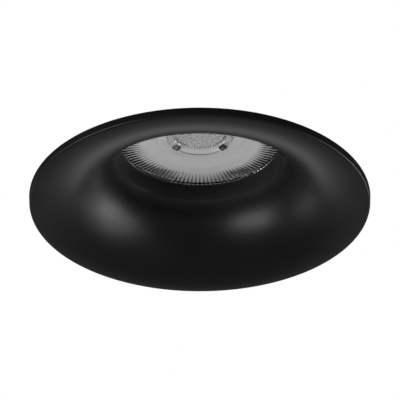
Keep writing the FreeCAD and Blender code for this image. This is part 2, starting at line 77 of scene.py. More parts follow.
def activate(piece: bpy.types.Object) -> None:
    """Select one object alone and make it active.

    Args:
        piece: The object to work on.
    """
    if bpy.context.mode != "OBJECT":
        bpy.ops.object.mode_set(mode="OBJECT")
    bpy.ops.object.select_all(action="DESELECT")
    piece.select_set(True)
    bpy.context.view_layer.objects.active = piece


def clear_bench() -> None:
    """Deselect everything before a new primitive is added."""
    if bpy.context.mode != "OBJECT":
        bpy.ops.object.mode_set(mode="OBJECT")
    bpy.ops.object.select_all(action="DESELECT")


@contextmanager
def editing(piece: bpy.types.Object, element: str = "VERT") -> Iterator[None]:
    """Work on a piece in edit mode.

    Args:
        piece: The mesh object to edit.
        element: What is selected: VERT, EDGE or FACE.

    Yields:
        Nothing; edit mode lasts as long as the block.
    """
    activate(piece)
    bpy.ops.object.mode_set(mode="EDIT")
    bpy.ops.mesh.select_mode(type=element)
    yield
    bpy.ops.object.mode_set(mode="OBJECT")


def pick(piece: bpy.types.Object, wanted: Callable[[Vector], bool]) -> int:
    """Select the vertices of a piece that a test accepts, from object mode.

    Args:
        piece: The mesh object.
        wanted: Test of a vertex's place.

    Returns:
        How many vertices were selected.
    """
    mesh = piece.data
    for face in mesh.polygons:
        face.select = False
    for edge in mesh.edges:
        edge.select = False
    count = 0
    for vertex in mesh.vertices:
        vertex.select = wanted(vertex.co)
        count += vertex.select
    return count


def settled(piece: bpy.types.Object, name: str) -> bpy.types.Object:
    """Name a piece, merge its doubles, turn its faces outwards and put its place in its mesh.

    Args:
        piece: The object to settle.
        name: Its final name.

    Returns:
        The same object.
    """
    piece.name = name
    piece.data.name = name
    activate(piece)
    bpy.ops.object.transform_apply(location=True, rotation=True, scale=True)
    with editing(piece):
        bpy.ops.mesh.select_all(action="SELECT")
        bpy.ops.mesh.remove_doubles(threshold=WELD)
        bpy.ops.mesh.normals_make_consistent(inside=False)
        bpy.ops.mesh.select_all(action="DESELECT")
    return piece


def smoothed(piece: bpy.types.Object, angle_deg: float = 32.0) -> bpy.types.Object:
    """Shade a piece smooth, with creases kept where its faces meet at more than the angle.

    Args:
        piece: The mesh object.
        angle_deg: Faces that meet at more than this keep a crease.

    Returns:
        The same object.
    """
    activate(piece)
    bpy.ops.object.shade_smooth_by_angle(angle=math.radians(angle_deg))
    return piece


def turned(name: str, profile: Profile, steps: int = 96) -> bpy.types.Object:
    """Spin a profile, given as (radius, height) points, about the Z axis.

    Args:
        name: Name of the piece.
        profile: Points of the outline; it is closed if it ends where it starts, and otherwise
            starts and ends on the axis.
        steps: Number of steps round the full turn.

    Returns:
        The turned piece.
    """
    clear_bench()
    bpy.ops.mesh.primitive_plane_add(size=MM)
    piece = bpy.context.active_object
    with editing(piece):
        bpy.ops.mesh.select_all(action="SELECT")
        bpy.ops.mesh.merge(type="CENTER")
        radius, height = profile[0]
        bpy.ops.transform.translate(value=(radius, 0, height))
        for next_radius, next_height in profile[1:]:
            step = (next_radius - radius, 0, next_height - height)
            bpy.ops.mesh.extrude_region_move(TRANSFORM_OT_translate={"value": step})
            radius, height = next_radius, next_height
        bpy.ops.mesh.select_all(action="SELECT")
        bpy.ops.mesh.spin(steps=steps, angle=FULL_TURN, center=(0, 0, 0), axis=(0, 0, 1))
    return settled(piece, name)


def arc_points(
    centre: tuple[float, float],
    reach: tuple[float, float],
    start_deg: float,
    end_deg: float,
    steps: int,
) -> Profile:
    """Points along an elliptical arc of a profile.

    Args:
        centre: Centre of the ellipse as (radius, height).
        reach: Its half axes.
        start_deg: Angle of the first point.
        end_deg: Angle of the last point.
        steps: Number of steps between them.

    Returns:
        The points, both ends included.
    """
    places = []
    for step in range(steps + 1):
        angle = math.radians(start_deg + (end_deg - start_deg) * step / steps)
        across, up = reach[0] * math.cos(angle), reach[1] * math.sin(angle)
        places.append((centre[0] + across, centre[1] + up))
    return places


def eased(corners: Sequence[tuple[float, float, float]], steps: int = 4) -> Profile:
    """Round the corners of a closed outline.

    Args:
        corners: (radius, height, rounding) of each corner, in order.
        steps: Number of steps of each rounding.

    Returns:
        A closed profile, whose last point repeats its first.
    """
    places: Profile = []
    count = len(corners)
    for index, (x, z, rounding) in enumerate(corners):
        here = Vector((x, z))
        before = Vector(corners[index - 1][:2]) - here
        after = Vector(corners[(index + 1) % count][:2]) - here
        reach = min(rounding, 0.45 * before.length, 0.45 * after.length)
        if reach <= 0:
            places.append((x, z))
            continue
        start = here + before.normalized() * reach
        end = here + after.normalized() * reach
        for step in range(steps + 1):
            share = step / steps
            place = start.lerp(here, share).lerp(here.lerp(end, share), share)
            places.append((place.x, place.y))
    places.append(places[0])
    return places


def block(name: str, low: Sequence[float], high: Sequence[float]) -> bpy.types.Object:
    """A box between two corners, to be shaped further.

    Args:
        name: Name of the piece.
        low: Its lowest corner.
        high: Its highest corner.

    Returns:
        The box.
    """
    clear_bench()
    middle = [(a + b) / 2 for a, b in zip(low, high)]
    size = [b - a for a, b in zip(low, high)]
    bpy.ops.mesh.primitive_cube_add(size=1, location=middle, scale=size)
    return settled(bpy.context.active_object, name)


def extruded(
    name: str, outline: Sequence[Sequence[float]], sweep: Sequence[float]
) -> bpy.types.Object:
    """Sweep a flat closed outline along a straight line.

    Args:
        name: Name of the piece.
        outline: Places of its corners, in order.
        sweep: The way it is swept.

    Returns:
        The swept piece.
    """
    clear_bench()
    bpy.ops.mesh.primitive_plane_add(size=MM)
    piece = bpy.context.active_object
    corners = [Vector(place) for place in outline]
    with editing(piece):
        bpy.ops.mesh.select_all(action="SELECT")
        bpy.ops.mesh.merge(type="CENTER")
        bpy.ops.transform.translate(value=corners[0])
        for here, there in zip(corners, corners[1:] + corners[:1]):
            bpy.ops.mesh.extrude_region_move(TRANSFORM_OT_translate={"value": there - here})
        bpy.ops.mesh.select_all(action="SELECT")
        bpy.ops.mesh.remove_doubles(threshold=WELD)
        bpy.ops.mesh.edge_face_add()
        bpy.ops.mesh.extrude_region_move(TRANSFORM_OT_translate={"value": sweep})
    return settled(piece, name)


def turned_in_place(piece: bpy.types.Object, turn_deg: float) -> bpy.types.Object:
    """Turn a piece about the Z axis where it is.

    Args:
        piece: The mesh object.
        turn_deg: Turn about the Z axis.

    Returns:
        The same object.
    """
    piece.rotation_euler.z = math.radians(turn_deg)
    return settled(piece, piece.name)


def rod(
    name: str, start: Vector, end: Vector, radius: float, sides: int = 48, rounding: float = 0.0
) -> bpy.types.Object:
    """A round bar between two points, with eased ends.

    Args:
        name: Name of the piece.
        start: Centre of one end.
        end: Centre of the other end.
        radius: Radius of the bar.
        sides: Number of sides.
        rounding: Width of the bevel round both ends; none at 0.

    Returns:
        The bar.
    """
    clear_bench()
    along = end - start
    turn = along.to_track_quat("Z", "Y").to_euler()
    bpy.ops.mesh.primitive_cylinder_add(
        vertices=sides, radius=radius, depth=along.length, location=(start + end) / 2, rotation=turn
    )
    piece = settled(bpy.context.active_object, name)
    if rounding > 0:
        with_rounded_edges(piece, rounding, 2, 50.0)
    return piece


def with_rounded_edges(
    piece: bpy.types.Object, width: float, segments: int = 3, over_deg: float = 35.0
) -> bpy.types.Object:
    """Bevel every edge of a piece that is sharper than an angle.

    Args:
        piece: The mesh object.
        width: Width of the bevel.
        segments: Steps of its rounding.
        over_deg: Edges under this angle stay as they are.

    Returns:
        The same object.
    """
    activate(piece)
    bpy.ops.object.modifier_add(type="BEVEL")
    bevel = piece.modifiers[-1]
    bevel.width = width
    bevel.segments = segments
    bevel.limit_method = "ANGLE"
    bevel.angle_limit = math.radians(over_deg)
    bpy.ops.object.modifier_apply(modifier=bevel.name)
    return piece


def combined(piece: bpy.types.Object, tool: bpy.types.Object, operation: str) -> bpy.types.Object:
    """Add a tool to a piece or cut it away, and put the tool aside.

    Args:
        piece: The mesh object that is kept.
        tool: The mesh object that shapes it; it is removed.
        operation: UNION, DIFFERENCE or INTERSECT.

    Returns:
        The kept object.
    """
    activate(piece)
    bpy.ops.object.modifier_add(type="BOOLEAN")
    boolean = piece.modifiers[-1]
    boolean.object = tool
    boolean.operation = operation
    boolean.solver = "EXACT"
    bpy.ops.object.modifier_apply(modifier=boolean.name)
    mesh = tool.data
    bpy.data.objects.remove(tool)
    bpy.data.meshes.remove(mesh)
    return piece


def joined(pieces: Sequence[bpy.types.Object], name: str) -> bpy.types.Object:
    """Join separate solids into one object, as identical fasteners of one group are.

    Args:
        pieces: The objects; the first one takes up the rest.
        name: Name of the joined object.

    Returns:
        The joined object.
    """
    clear_bench()
    for piece in pieces:
        piece.select_set(True)
    bpy.context.view_layer.objects.active = pieces[0]
    bpy.ops.object.join()
    return settled(pieces[0], name)


def copied(piece: bpy.types.Object, name: str, turn_deg: float = 0.0) -> bpy.types.Object:
    """A copy of a piece with a mesh of its own, turned about the Z axis.

    Args:
        piece: The object to copy.
        name: Name of the copy.
        turn_deg: Turn about the Z axis.

    Returns:
        The copy.
    """
    activate(piece)
    bpy.ops.object.duplicate(linked=False)
    copy = bpy.context.active_object
    copy.matrix_world = Matrix.Rotation(math.radians(turn_deg), 4, "Z") @ copy.matrix_world
    return settled(copy, name)


# ---- Finishes ----


class Grain(Enum):
    """How the fine relief of a surface is laid."""

    SPECKLE = "speckle"
    PEBBLE = "pebble"
    BRUSHED = "brushed"


class NodeBench:
    """Adds and joins the nodes of one tree."""

    def __init__(self, tree: bpy.types.NodeTree) -> None:
        """Keep the tree to work on.

        Args:
            tree: A material's or a group's node tree.
        """
        self.tree = tree

    def add(self, kind: str, inputs: dict | None = None, **settings: object) -> bpy.types.Node:
        """Add a node.

        Args:
            kind: Node type.
            inputs: Values or sockets for its inputs, by name or index.
            **settings: Properties of the node.

        Returns:
            The new node.
        """
        node = self.tree.nodes.new(kind)
        for key, value in settings.items():
            setattr(node, key, value)
        for key, value in (inputs or {}).items():
            socket = node.inputs[key]
            if isinstance(value, bpy.types.NodeSocket):
                self.tree.links.new(value, socket)
            else:
                socket.default_value = value
        return node

    def math(self, operation: str, *values: object) -> bpy.types.NodeSocket:
        """Output of a Math node on values or sockets.

        Args:
            operation: Name of the operation.
            *values: Numbers or sockets it works on.

        Returns:
            The result.
        """
        node = self.add("ShaderNodeMath", dict(enumerate(values)), operation=operation)
        return node.outputs[0]

    def blend(self, factor: object, first: object, second: object) -> bpy.types.NodeSocket:
        """Mix of two colours.

        Args:
            factor: Share of the second colour.
            first: Colour at a factor of 0.
            second: Colour at a factor of 1.

        Returns:
            The mixed colour.
        """
        node = self.add("ShaderNodeMix", data_type="RGBA")
        for index, value in ((0, factor), (6, first), (7, second)):
            if isinstance(value, bpy.types.NodeSocket):
                self.tree.links.new(value, node.inputs[index])
            else:
                node.inputs[index].default_value = value
        return node.outputs[2]

    def seen_straight(self) -> bpy.types.NodeSocket:
        """1 for what the camera sees, also through glass, and 0 for light on the object."""
        rays = self.add("ShaderNodeLightPath").outputs
        return self.math("MAXIMUM", rays["Is Camera Ray"], rays["Is Transmission Ray"])

    def ramp(self, value: bpy.types.NodeSocket, low: float, high: float) -> bpy.types.NodeSocket:
        """A smooth step of a value from 0 at low to 1 at high.

        Args:
            value: The value.
            low: Where the step starts.
            high: Where the step ends.

        Returns:
            The step.
        """
        inputs = {"Value": value, "From Min": low, "From Max": high, "To Min": 0.0, "To Max": 1.0}
        node = self.add("ShaderNodeMapRange", inputs, interpolation_type="SMOOTHSTEP", clamp=True)
        return node.outputs["Result"]


def new_group(name: str, inputs: dict[str, float], outputs: Sequence[str]) -> bpy.types.NodeTree:
    """An empty shader group with number inputs and outputs.

    Args:
        name: Name of the group.
        inputs: Its inputs and their defaults.
        outputs: Its outputs.

    Returns:
        The group's tree.
    """
    tree = bpy.data.node_groups.new(name, "ShaderNodeTree")
    for label, value in inputs.items():
        socket = tree.interface.new_socket(name=label, in_out="INPUT", socket_type="NodeSocketFloat")
        socket.default_value = value
    for label in outputs:
        tree.interface.new_socket(name=label, in_out="OUTPUT", socket_type="NodeSocketFloat")
    return tree


class Effects:
    """Shared surface effects, each a node group that is built once."""

    def __init__(self) -> None:
        """Build the groups."""
        self.grain = {kind: self._grain(kind) for kind in Grain}
        self.patches = self._patches()
        self.wear = self._wear()
        self.dust = self._dust()
        self.spokes = self._spokes()

    @staticmethod
    def _grain(kind: Grain) -> bpy.types.NodeTree:
        """Fine relief: Cell is the size of one grain in metres, Height runs from 0 to 1.

        Args:
            kind: How the relief is laid.

        Returns:
            The group.
        """
        tree = new_group("grain_" + kind.value, {"Cell": 0.4 * MM}, ["Height"])
        bench = NodeBench(tree)
        given = bench.add("NodeGroupInput")
        place = bench.add("ShaderNodeTexCoord").outputs["Object"]
        scale = bench.math("DIVIDE", 1.0, given.outputs["Cell"])
        if kind is Grain.PEBBLE:
            inputs = {"Vector": place, "Scale": scale}
            cells = bench.add("ShaderNodeTexVoronoi", inputs, feature="SMOOTH_F1")
            height = bench.math("SUBTRACT", 1.0, cells.outputs["Distance"])
        elif kind is Grain.BRUSHED:
            drawn = bench.add("ShaderNodeMapping", {"Vector": place, "Scale": (0.03, 1.0, 1.0)})
            inputs = {"Vector": drawn.outputs[0], "Scale": scale, "Detail": 3.0}
            noise = bench.add("ShaderNodeTexNoise", inputs)
            height = noise.outputs[0]
        else:
            inputs = {"Vector": place, "Scale": scale, "Detail": 4.0, "Roughness": 0.6}
            noise = bench.add("ShaderNodeTexNoise", inputs)
            height = noise.outputs[0]
        bench.add("NodeGroupOutput", {"Height": height})
        return tree

    @staticmethod
    def _patches() -> bpy.types.NodeTree:
        """Broad soft patches of 0 to 1, for colour and gloss that vary over a hand's breadth.

        Returns:
            The group.
        """
        tree = new_group("broad_patches", {"Cell": 12 * MM}, ["Mask"])
        bench = NodeBench(tree)
        given = bench.add("NodeGroupInput")
        place = bench.add("ShaderNodeTexCoord").outputs["Object"]
        scale = bench.math("DIVIDE", 1.0, given.outputs["Cell"])
        noise = bench.add("ShaderNodeTexNoise", {"Vector": place, "Scale": scale, "Detail": 3.0})
        bench.add("NodeGroupOutput", {"Mask": bench.ramp(noise.outputs[0], 0.3, 0.7)})
        return tree

    @staticmethod
    def _wear() -> bpy.types.NodeTree:
        """Rubbed edges: a mask on convex edges, broken up by noise.

        Returns:
            The group.
        """
        tree = new_group("edge_wear", {"Start": 0.53, "End": 0.6, "Cell": 1.5 * MM}, ["Mask"])
        bench = NodeBench(tree)
        given = bench.add("NodeGroupInput")
        edge = bench.add("ShaderNodeNewGeometry").outputs["Pointiness"]
        place = bench.add("ShaderNodeTexCoord").outputs["Object"]
        scale = bench.math("DIVIDE", 1.0, given.outputs["Cell"])
        noise = bench.add("ShaderNodeTexNoise", {"Vector": place, "Scale": scale, "Detail": 4.0})
        sharp = bench.ramp(edge, 0.0, 1.0)
        for label, socket in (("Start", "From Min"), ("End", "From Max")):
            tree.links.new(given.outputs[label], sharp.node.inputs[socket])
        broken = bench.ramp(noise.outputs[0], 0.42, 0.62)
        bench.add("NodeGroupOutput", {"Mask": bench.math("MULTIPLY", sharp, broken)})
        return tree

    @staticmethod
    def _dust() -> bpy.types.NodeTree:
        """Dust on what faces up, in the void above the board.

        Returns:
            The group.
        """
        tree = new_group("settled_dust", {"Amount": 0.5}, ["Mask"])
        bench = NodeBench(tree)
        given = bench.add("NodeGroupInput")
        geometry = bench.add("ShaderNodeNewGeometry")
        split = bench.add("ShaderNodeSeparateXYZ", {0: geometry.outputs["Normal"]})
        place = bench.add("ShaderNodeTexCoord").outputs["Object"]
        noise = bench.add("ShaderNodeTexNoise", {"Vector": place, "Scale": 260.0, "Detail": 6.0})
        up = bench.ramp(split.outputs["Z"], 0.3, 1.0)
        loose = bench.ramp(noise.outputs[0], 0.35, 0.75)
        mask = bench.math("MULTIPLY", bench.math("MULTIPLY", up, loose), given.outputs["Amount"])
        bench.add("NodeGroupOutput", {"Mask": mask})
        return tree

    @staticmethod
    def _spokes() -> bpy.types.NodeTree:
        """Lines that run out from the Z axis: Wave is 1 on a line and 0 midway between two.

        Radius is the distance from the axis in metres.

        Returns:
            The group.
        """
        tree = new_group("spokes", {"Count": 112.0}, ["Wave", "Radius"])
        bench = NodeBench(tree)
        given = bench.add("NodeGroupInput")
        place = bench.add("ShaderNodeTexCoord").outputs["Object"]
        split = bench.add("ShaderNodeSeparateXYZ", {0: place})
        angle = bench.math("ARCTAN2", split.outputs["Y"], split.outputs["X"])
        wave = bench.math("COSINE", bench.math("MULTIPLY", angle, given.outputs["Count"]))
        wave = bench.math("MULTIPLY_ADD", wave, 0.5, 0.5)
        flat = bench.add("ShaderNodeCombineXYZ", {"X": split.outputs["X"], "Y": split.outputs["Y"]})
        radius = bench.add("ShaderNodeVectorMath", {0: flat.outputs[0]}, operation="LENGTH")
        bench.add("NodeGroupOutput", {"Wave": wave, "Radius": radius.outputs["Value"]})
        return tree

    def place(
        self, bench: NodeBench, tree: bpy.types.NodeTree, inputs: dict | None = None
    ) -> bpy.types.Node:
        """Place a group in a material with its own values.

        Args:
            bench: The material's node bench.
            tree: The group to place.
            inputs: Values of its inputs.

        Returns:
            The group node.
        """
        node = bench.add("ShaderNodeGroup", node_tree=tree)
        for key, value in (inputs or {}).items():
            node.inputs[key].default_value = value
        return node


def rgba(colour: Sequence[float]) -> tuple[float, float, float, float]:
    """A colour with full alpha."""
    return (colour[0], colour[1], colour[2], 1.0)


@dataclass(frozen=True)
class Finish:
    """An opaque finish: colour, gloss, fine relief, wear and dust."""

    name: str
    colour: tuple[float, float, float]
    second_colour: tuple[float, float, float]
    roughness: tuple[float, float] = (0.4, 0.5)
    metallic: float = 0.0
    specular: float = 0.5
    coat: float = 0.0
    grain: Grain = Grain.SPECKLE
    grain_cell: float = 0.3 * MM
    grain_height: float = 0.004 * MM
    patch_cell: float = 12 * MM
    wear_colour: tuple[float, float, float] | None = None
    wear_roughness: float = 0.35
    dust: float = 0.0
    dust_colour: tuple[float, float, float] = (0.42, 0.4, 0.37)
    dust_roughness: float = 0.3
    coat_roughness: float = 0.12

    def material(self, effects: Effects) -> bpy.types.Material:
        """Build the finish as a material.

        Args:
            effects: The shared surface effects.

        Returns:
            The material.
        """
        material = bpy.data.materials.new(self.name)
        material.use_nodes = True
        material.node_tree.nodes.clear()
        bench = NodeBench(material.node_tree)
        patches = effects.place(bench, effects.patches, {"Cell": self.patch_cell}).outputs["Mask"]
        grain = effects.place(bench, effects.grain[self.grain], {"Cell": self.grain_cell})
        relief = grain.outputs["Height"]
        colour = bench.blend(patches, rgba(self.colour), rgba(self.second_colour))
        low, high = self.roughness
        gloss = bench.math("MULTIPLY_ADD", relief, high - low, low)
        if self.wear_colour is not None:
            rubbed = effects.place(bench, effects.wear).outputs["Mask"]
            colour = bench.blend(rubbed, colour, rgba(self.wear_colour))
            gloss = bench.math("ADD", gloss, bench.math("MULTIPLY", rubbed, self.wear_roughness - low))
        if self.dust > 0:
            settled_dust = effects.place(bench, effects.dust, {"Amount": self.dust}).outputs["Mask"]
            colour = bench.blend(settled_dust, colour, rgba(self.dust_colour))
            gloss = bench.math("ADD", gloss, bench.math("MULTIPLY", settled_dust, self.dust_roughness))
        bump = bench.add(
            "ShaderNodeBump", {"Strength": 1.0, "Distance": self.grain_height, "Height": relief}
        )
        shader = bench.add("ShaderNodeBsdfPrincipled", {
            "Base Color": colour,
            "Roughness": gloss,
            "Metallic": self.metallic,
            "Specular IOR Level": self.specular,
            "Coat Weight": self.coat,
            "Coat Roughness": self.coat_roughness,
            "Normal": bump.outputs[0],
        })
        bench.add("ShaderNodeOutputMaterial", {"Surface": shader.outputs[0]})
        return material


@dataclass(frozen=True)
class ClearMoulding:
    """Clear moulded acrylic. The dark throat that its ribs reflect is painted into its colour as dark lines
    along the ribs (painted reflection).
    """

    name: str = "lens_acrylic"
    rib_count: int = 112
    rib_inner: float = 17.2 * MM
    rib_outer: float = 24.6 * MM
    rib_spread: float = 0.26
    rib_crispness: float = 6.0
    prism_radius: float = 7.6 * MM
    prism_cell: float = 0.45 * MM
    prism_height: float = 0.12 * MM
    rib_fade: float = 2.0 * MM
    prism_fade: float = 0.3 * MM
    line_start: float = 0.96
    clear_colour: tuple[float, float, float] = (1.0, 1.0, 1.0)
    # Colour of the painted reflection of the dark throat along the ribs.
    throat_reflection_colour: tuple[float, float, float] = (0.04, 0.04, 0.04)
    roughness: float = 0.04
    prism_roughness: float = 0.1
    refraction: float = 1.49

    def material(self, effects: Effects) -> bpy.types.Material:
        """Build the clear material.

        Args:
            effects: The shared surface effects.

        Returns:
            The material.
        """
        material = bpy.data.materials.new(self.name)
        material.use_nodes = True
        material.node_tree.nodes.clear()
        bench = NodeBench(material.node_tree)
        spokes = effects.place(bench, effects.spokes, {"Count": float(self.rib_count)})
        wave, radius = spokes.outputs["Wave"], spokes.outputs["Radius"]
        # Painted reflection: the dark throat seen in the ribs is painted as dark lines along them, thin
        # inside and wider outwards.
        in_ribs = bench.ramp(radius, self.rib_inner, self.rib_inner + self.rib_fade)
        past_inner = bench.math("SUBTRACT", radius, self.rib_inner)
        share = bench.math("DIVIDE", past_inner, self.rib_outer - self.rib_inner)
        start = bench.math("MULTIPLY_ADD", share, -self.rib_spread, self.line_start)
        line = bench.math("MULTIPLY", bench.math("SUBTRACT", wave, start), self.rib_crispness)
        dark = bench.math("MULTIPLY", bench.ramp(line, 0.0, 1.0), in_ribs)
        colour = bench.blend(dark, rgba(self.clear_colour), rgba(self.throat_reflection_colour))
        cells = effects.place(bench, effects.grain[Grain.PEBBLE], {"Cell": self.prism_cell})
        centre = bench.ramp(radius, self.prism_radius + self.prism_fade, self.prism_radius)
        relief = bench.math("MULTIPLY", cells.outputs["Height"], centre)
        bump = bench.add(
            "ShaderNodeBump", {"Strength": 1.0, "Distance": self.prism_height, "Height": relief}
        )
        shader = bench.add("ShaderNodeBsdfPrincipled", {
            "Base Color": colour,
            "Roughness": bench.math("MULTIPLY_ADD", centre, self.prism_roughness, self.roughness),
            "Metallic": 0.0,
            "Transmission Weight": 1.0,
            "IOR": self.refraction,
            "Normal": bump.outputs[0],
        })
        bench.add("ShaderNodeOutputMaterial", {"Surface": shader.outputs[0]})
        return material


FINISHES: dict[str, Finish] = {
    finish.name: finish
    for finish in (
        Finish("bezel_black", (0.017, 0.017, 0.0175), (0.02, 0.02, 0.0205), (0.34, 0.4),
               grain_cell=0.22 * MM, grain_height=0.006 * MM, dust=0.08),
        Finish("gasket_foam", (0.018, 0.018, 0.018), (0.03, 0.03, 0.03), (0.85, 0.95), specular=0.2,
               grain=Grain.PEBBLE, grain_cell=0.35 * MM, grain_height=0.08 * MM),
        Finish("spring_steel", (0.5, 0.5, 0.51), (0.58, 0.58, 0.59), (0.22, 0.34), metallic=1.0,
               grain_cell=0.12 * MM, grain_height=0.002 * MM),
        Finish("pressed_steel", (0.56, 0.56, 0.55), (0.66, 0.66, 0.64), (0.26, 0.42), metallic=1.0,
               grain=Grain.BRUSHED, grain_cell=0.1 * MM, grain_height=0.002 * MM, dust=0.1),
        Finish("sleeve_rubber", (0.02, 0.02, 0.021), (0.03, 0.03, 0.03), (0.62, 0.75), specular=0.35,
               grain_cell=0.25 * MM, grain_height=0.01 * MM, dust=0.3),
        Finish("sink_alloy", (0.72, 0.72, 0.73), (0.8, 0.8, 0.8), (0.4, 0.55), metallic=1.0,
               grain_cell=0.3 * MM, grain_height=0.01 * MM, wear_colour=(0.9, 0.9, 0.9), dust=0.2),
        Finish("board_white", (0.83, 0.83, 0.82), (0.88, 0.88, 0.87), (0.35, 0.45)),
        Finish("phosphor", (0.8, 0.77, 0.66), (0.84, 0.81, 0.7), (0.3, 0.4)),
        Finish("board_green", (0.03, 0.18, 0.08), (0.04, 0.22, 0.1), (0.3, 0.4), coat=0.4),
        Finish("component_dark", (0.03, 0.03, 0.035), (0.05, 0.05, 0.055), (0.4, 0.5)),
        Finish("base_white", (0.8, 0.8, 0.77), (0.84, 0.84, 0.81), (0.38, 0.5), dust=0.2),
        Finish("pin_nickel", (0.66, 0.64, 0.59), (0.72, 0.7, 0.65), (0.2, 0.32), metallic=1.0),
        Finish("ceramic", (0.82, 0.8, 0.74), (0.86, 0.84, 0.79), (0.16, 0.3), coat=0.3,
               grain_cell=0.8 * MM, grain_height=0.01 * MM, dust=0.25),
        Finish("contact_brass", (0.72, 0.55, 0.26), (0.78, 0.62, 0.32), (0.25, 0.4), metallic=1.0),
        Finish("screw_zinc", (0.6, 0.6, 0.59), (0.7, 0.7, 0.68), (0.25, 0.4), metallic=1.0),
        Finish("reflector_white", (0.96, 0.96, 0.96), (0.97, 0.97, 0.97), (0.45, 0.55)),
    )
}


class PaintShop:
    """Gives pieces and CAD nodes their finishes, each material built once."""

    def __init__(self) -> None:
        """Build the shared effects and the materials."""
        self.effects = Effects()
        self.materials = {name: finish.material(self.effects) for name, finish in FINISHES.items()}
        self.materials["lens_clear"] = ClearMoulding().material(self.effects)

    def paint(self, piece: bpy.types.Object, finish: str) -> None:
        """Give a piece one finish all over.

        Args:
            piece: The object.
            finish: Name of the finish.
        """
        piece.data.materials.clear()
        piece.data.materials.append(self.materials[finish])

    def paint_frame(self) -> None:
        """Give every CAD node the finish of its material slot in the record."""
        slots = {row["node"]: row["material_slot"] for row in frame["record"]["subparts"]}
        for node, piece in frame["nodes"].items():
            self.paint(piece, slots[node])

    def finish_piece(
        self,
        piece: bpy.types.Object,
        body: str,
        slot: str,
        replaces: Sequence[str] = (),
        finish: str = "",
    ) -> bpy.types.Object:
        """Paint a new piece, set it on its body and hide the nodes it stands for.

        Args:
            piece: The new object.
            body: The CAD body that it rides on.
            slot: The record's material slot.
            replaces: CAD nodes that it stands for.
            finish: Name of the finish, where it isn't the slot's own.

        Returns:
            The same object.
        """
        self.paint(piece, finish or slot)
        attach(piece, body)
        if replaces:
            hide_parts(*replaces)
        LOG.info("piece %s on %s, %d faces", piece.name, body, len(piece.data.polygons))
        return piece


# ---- Bezel ----


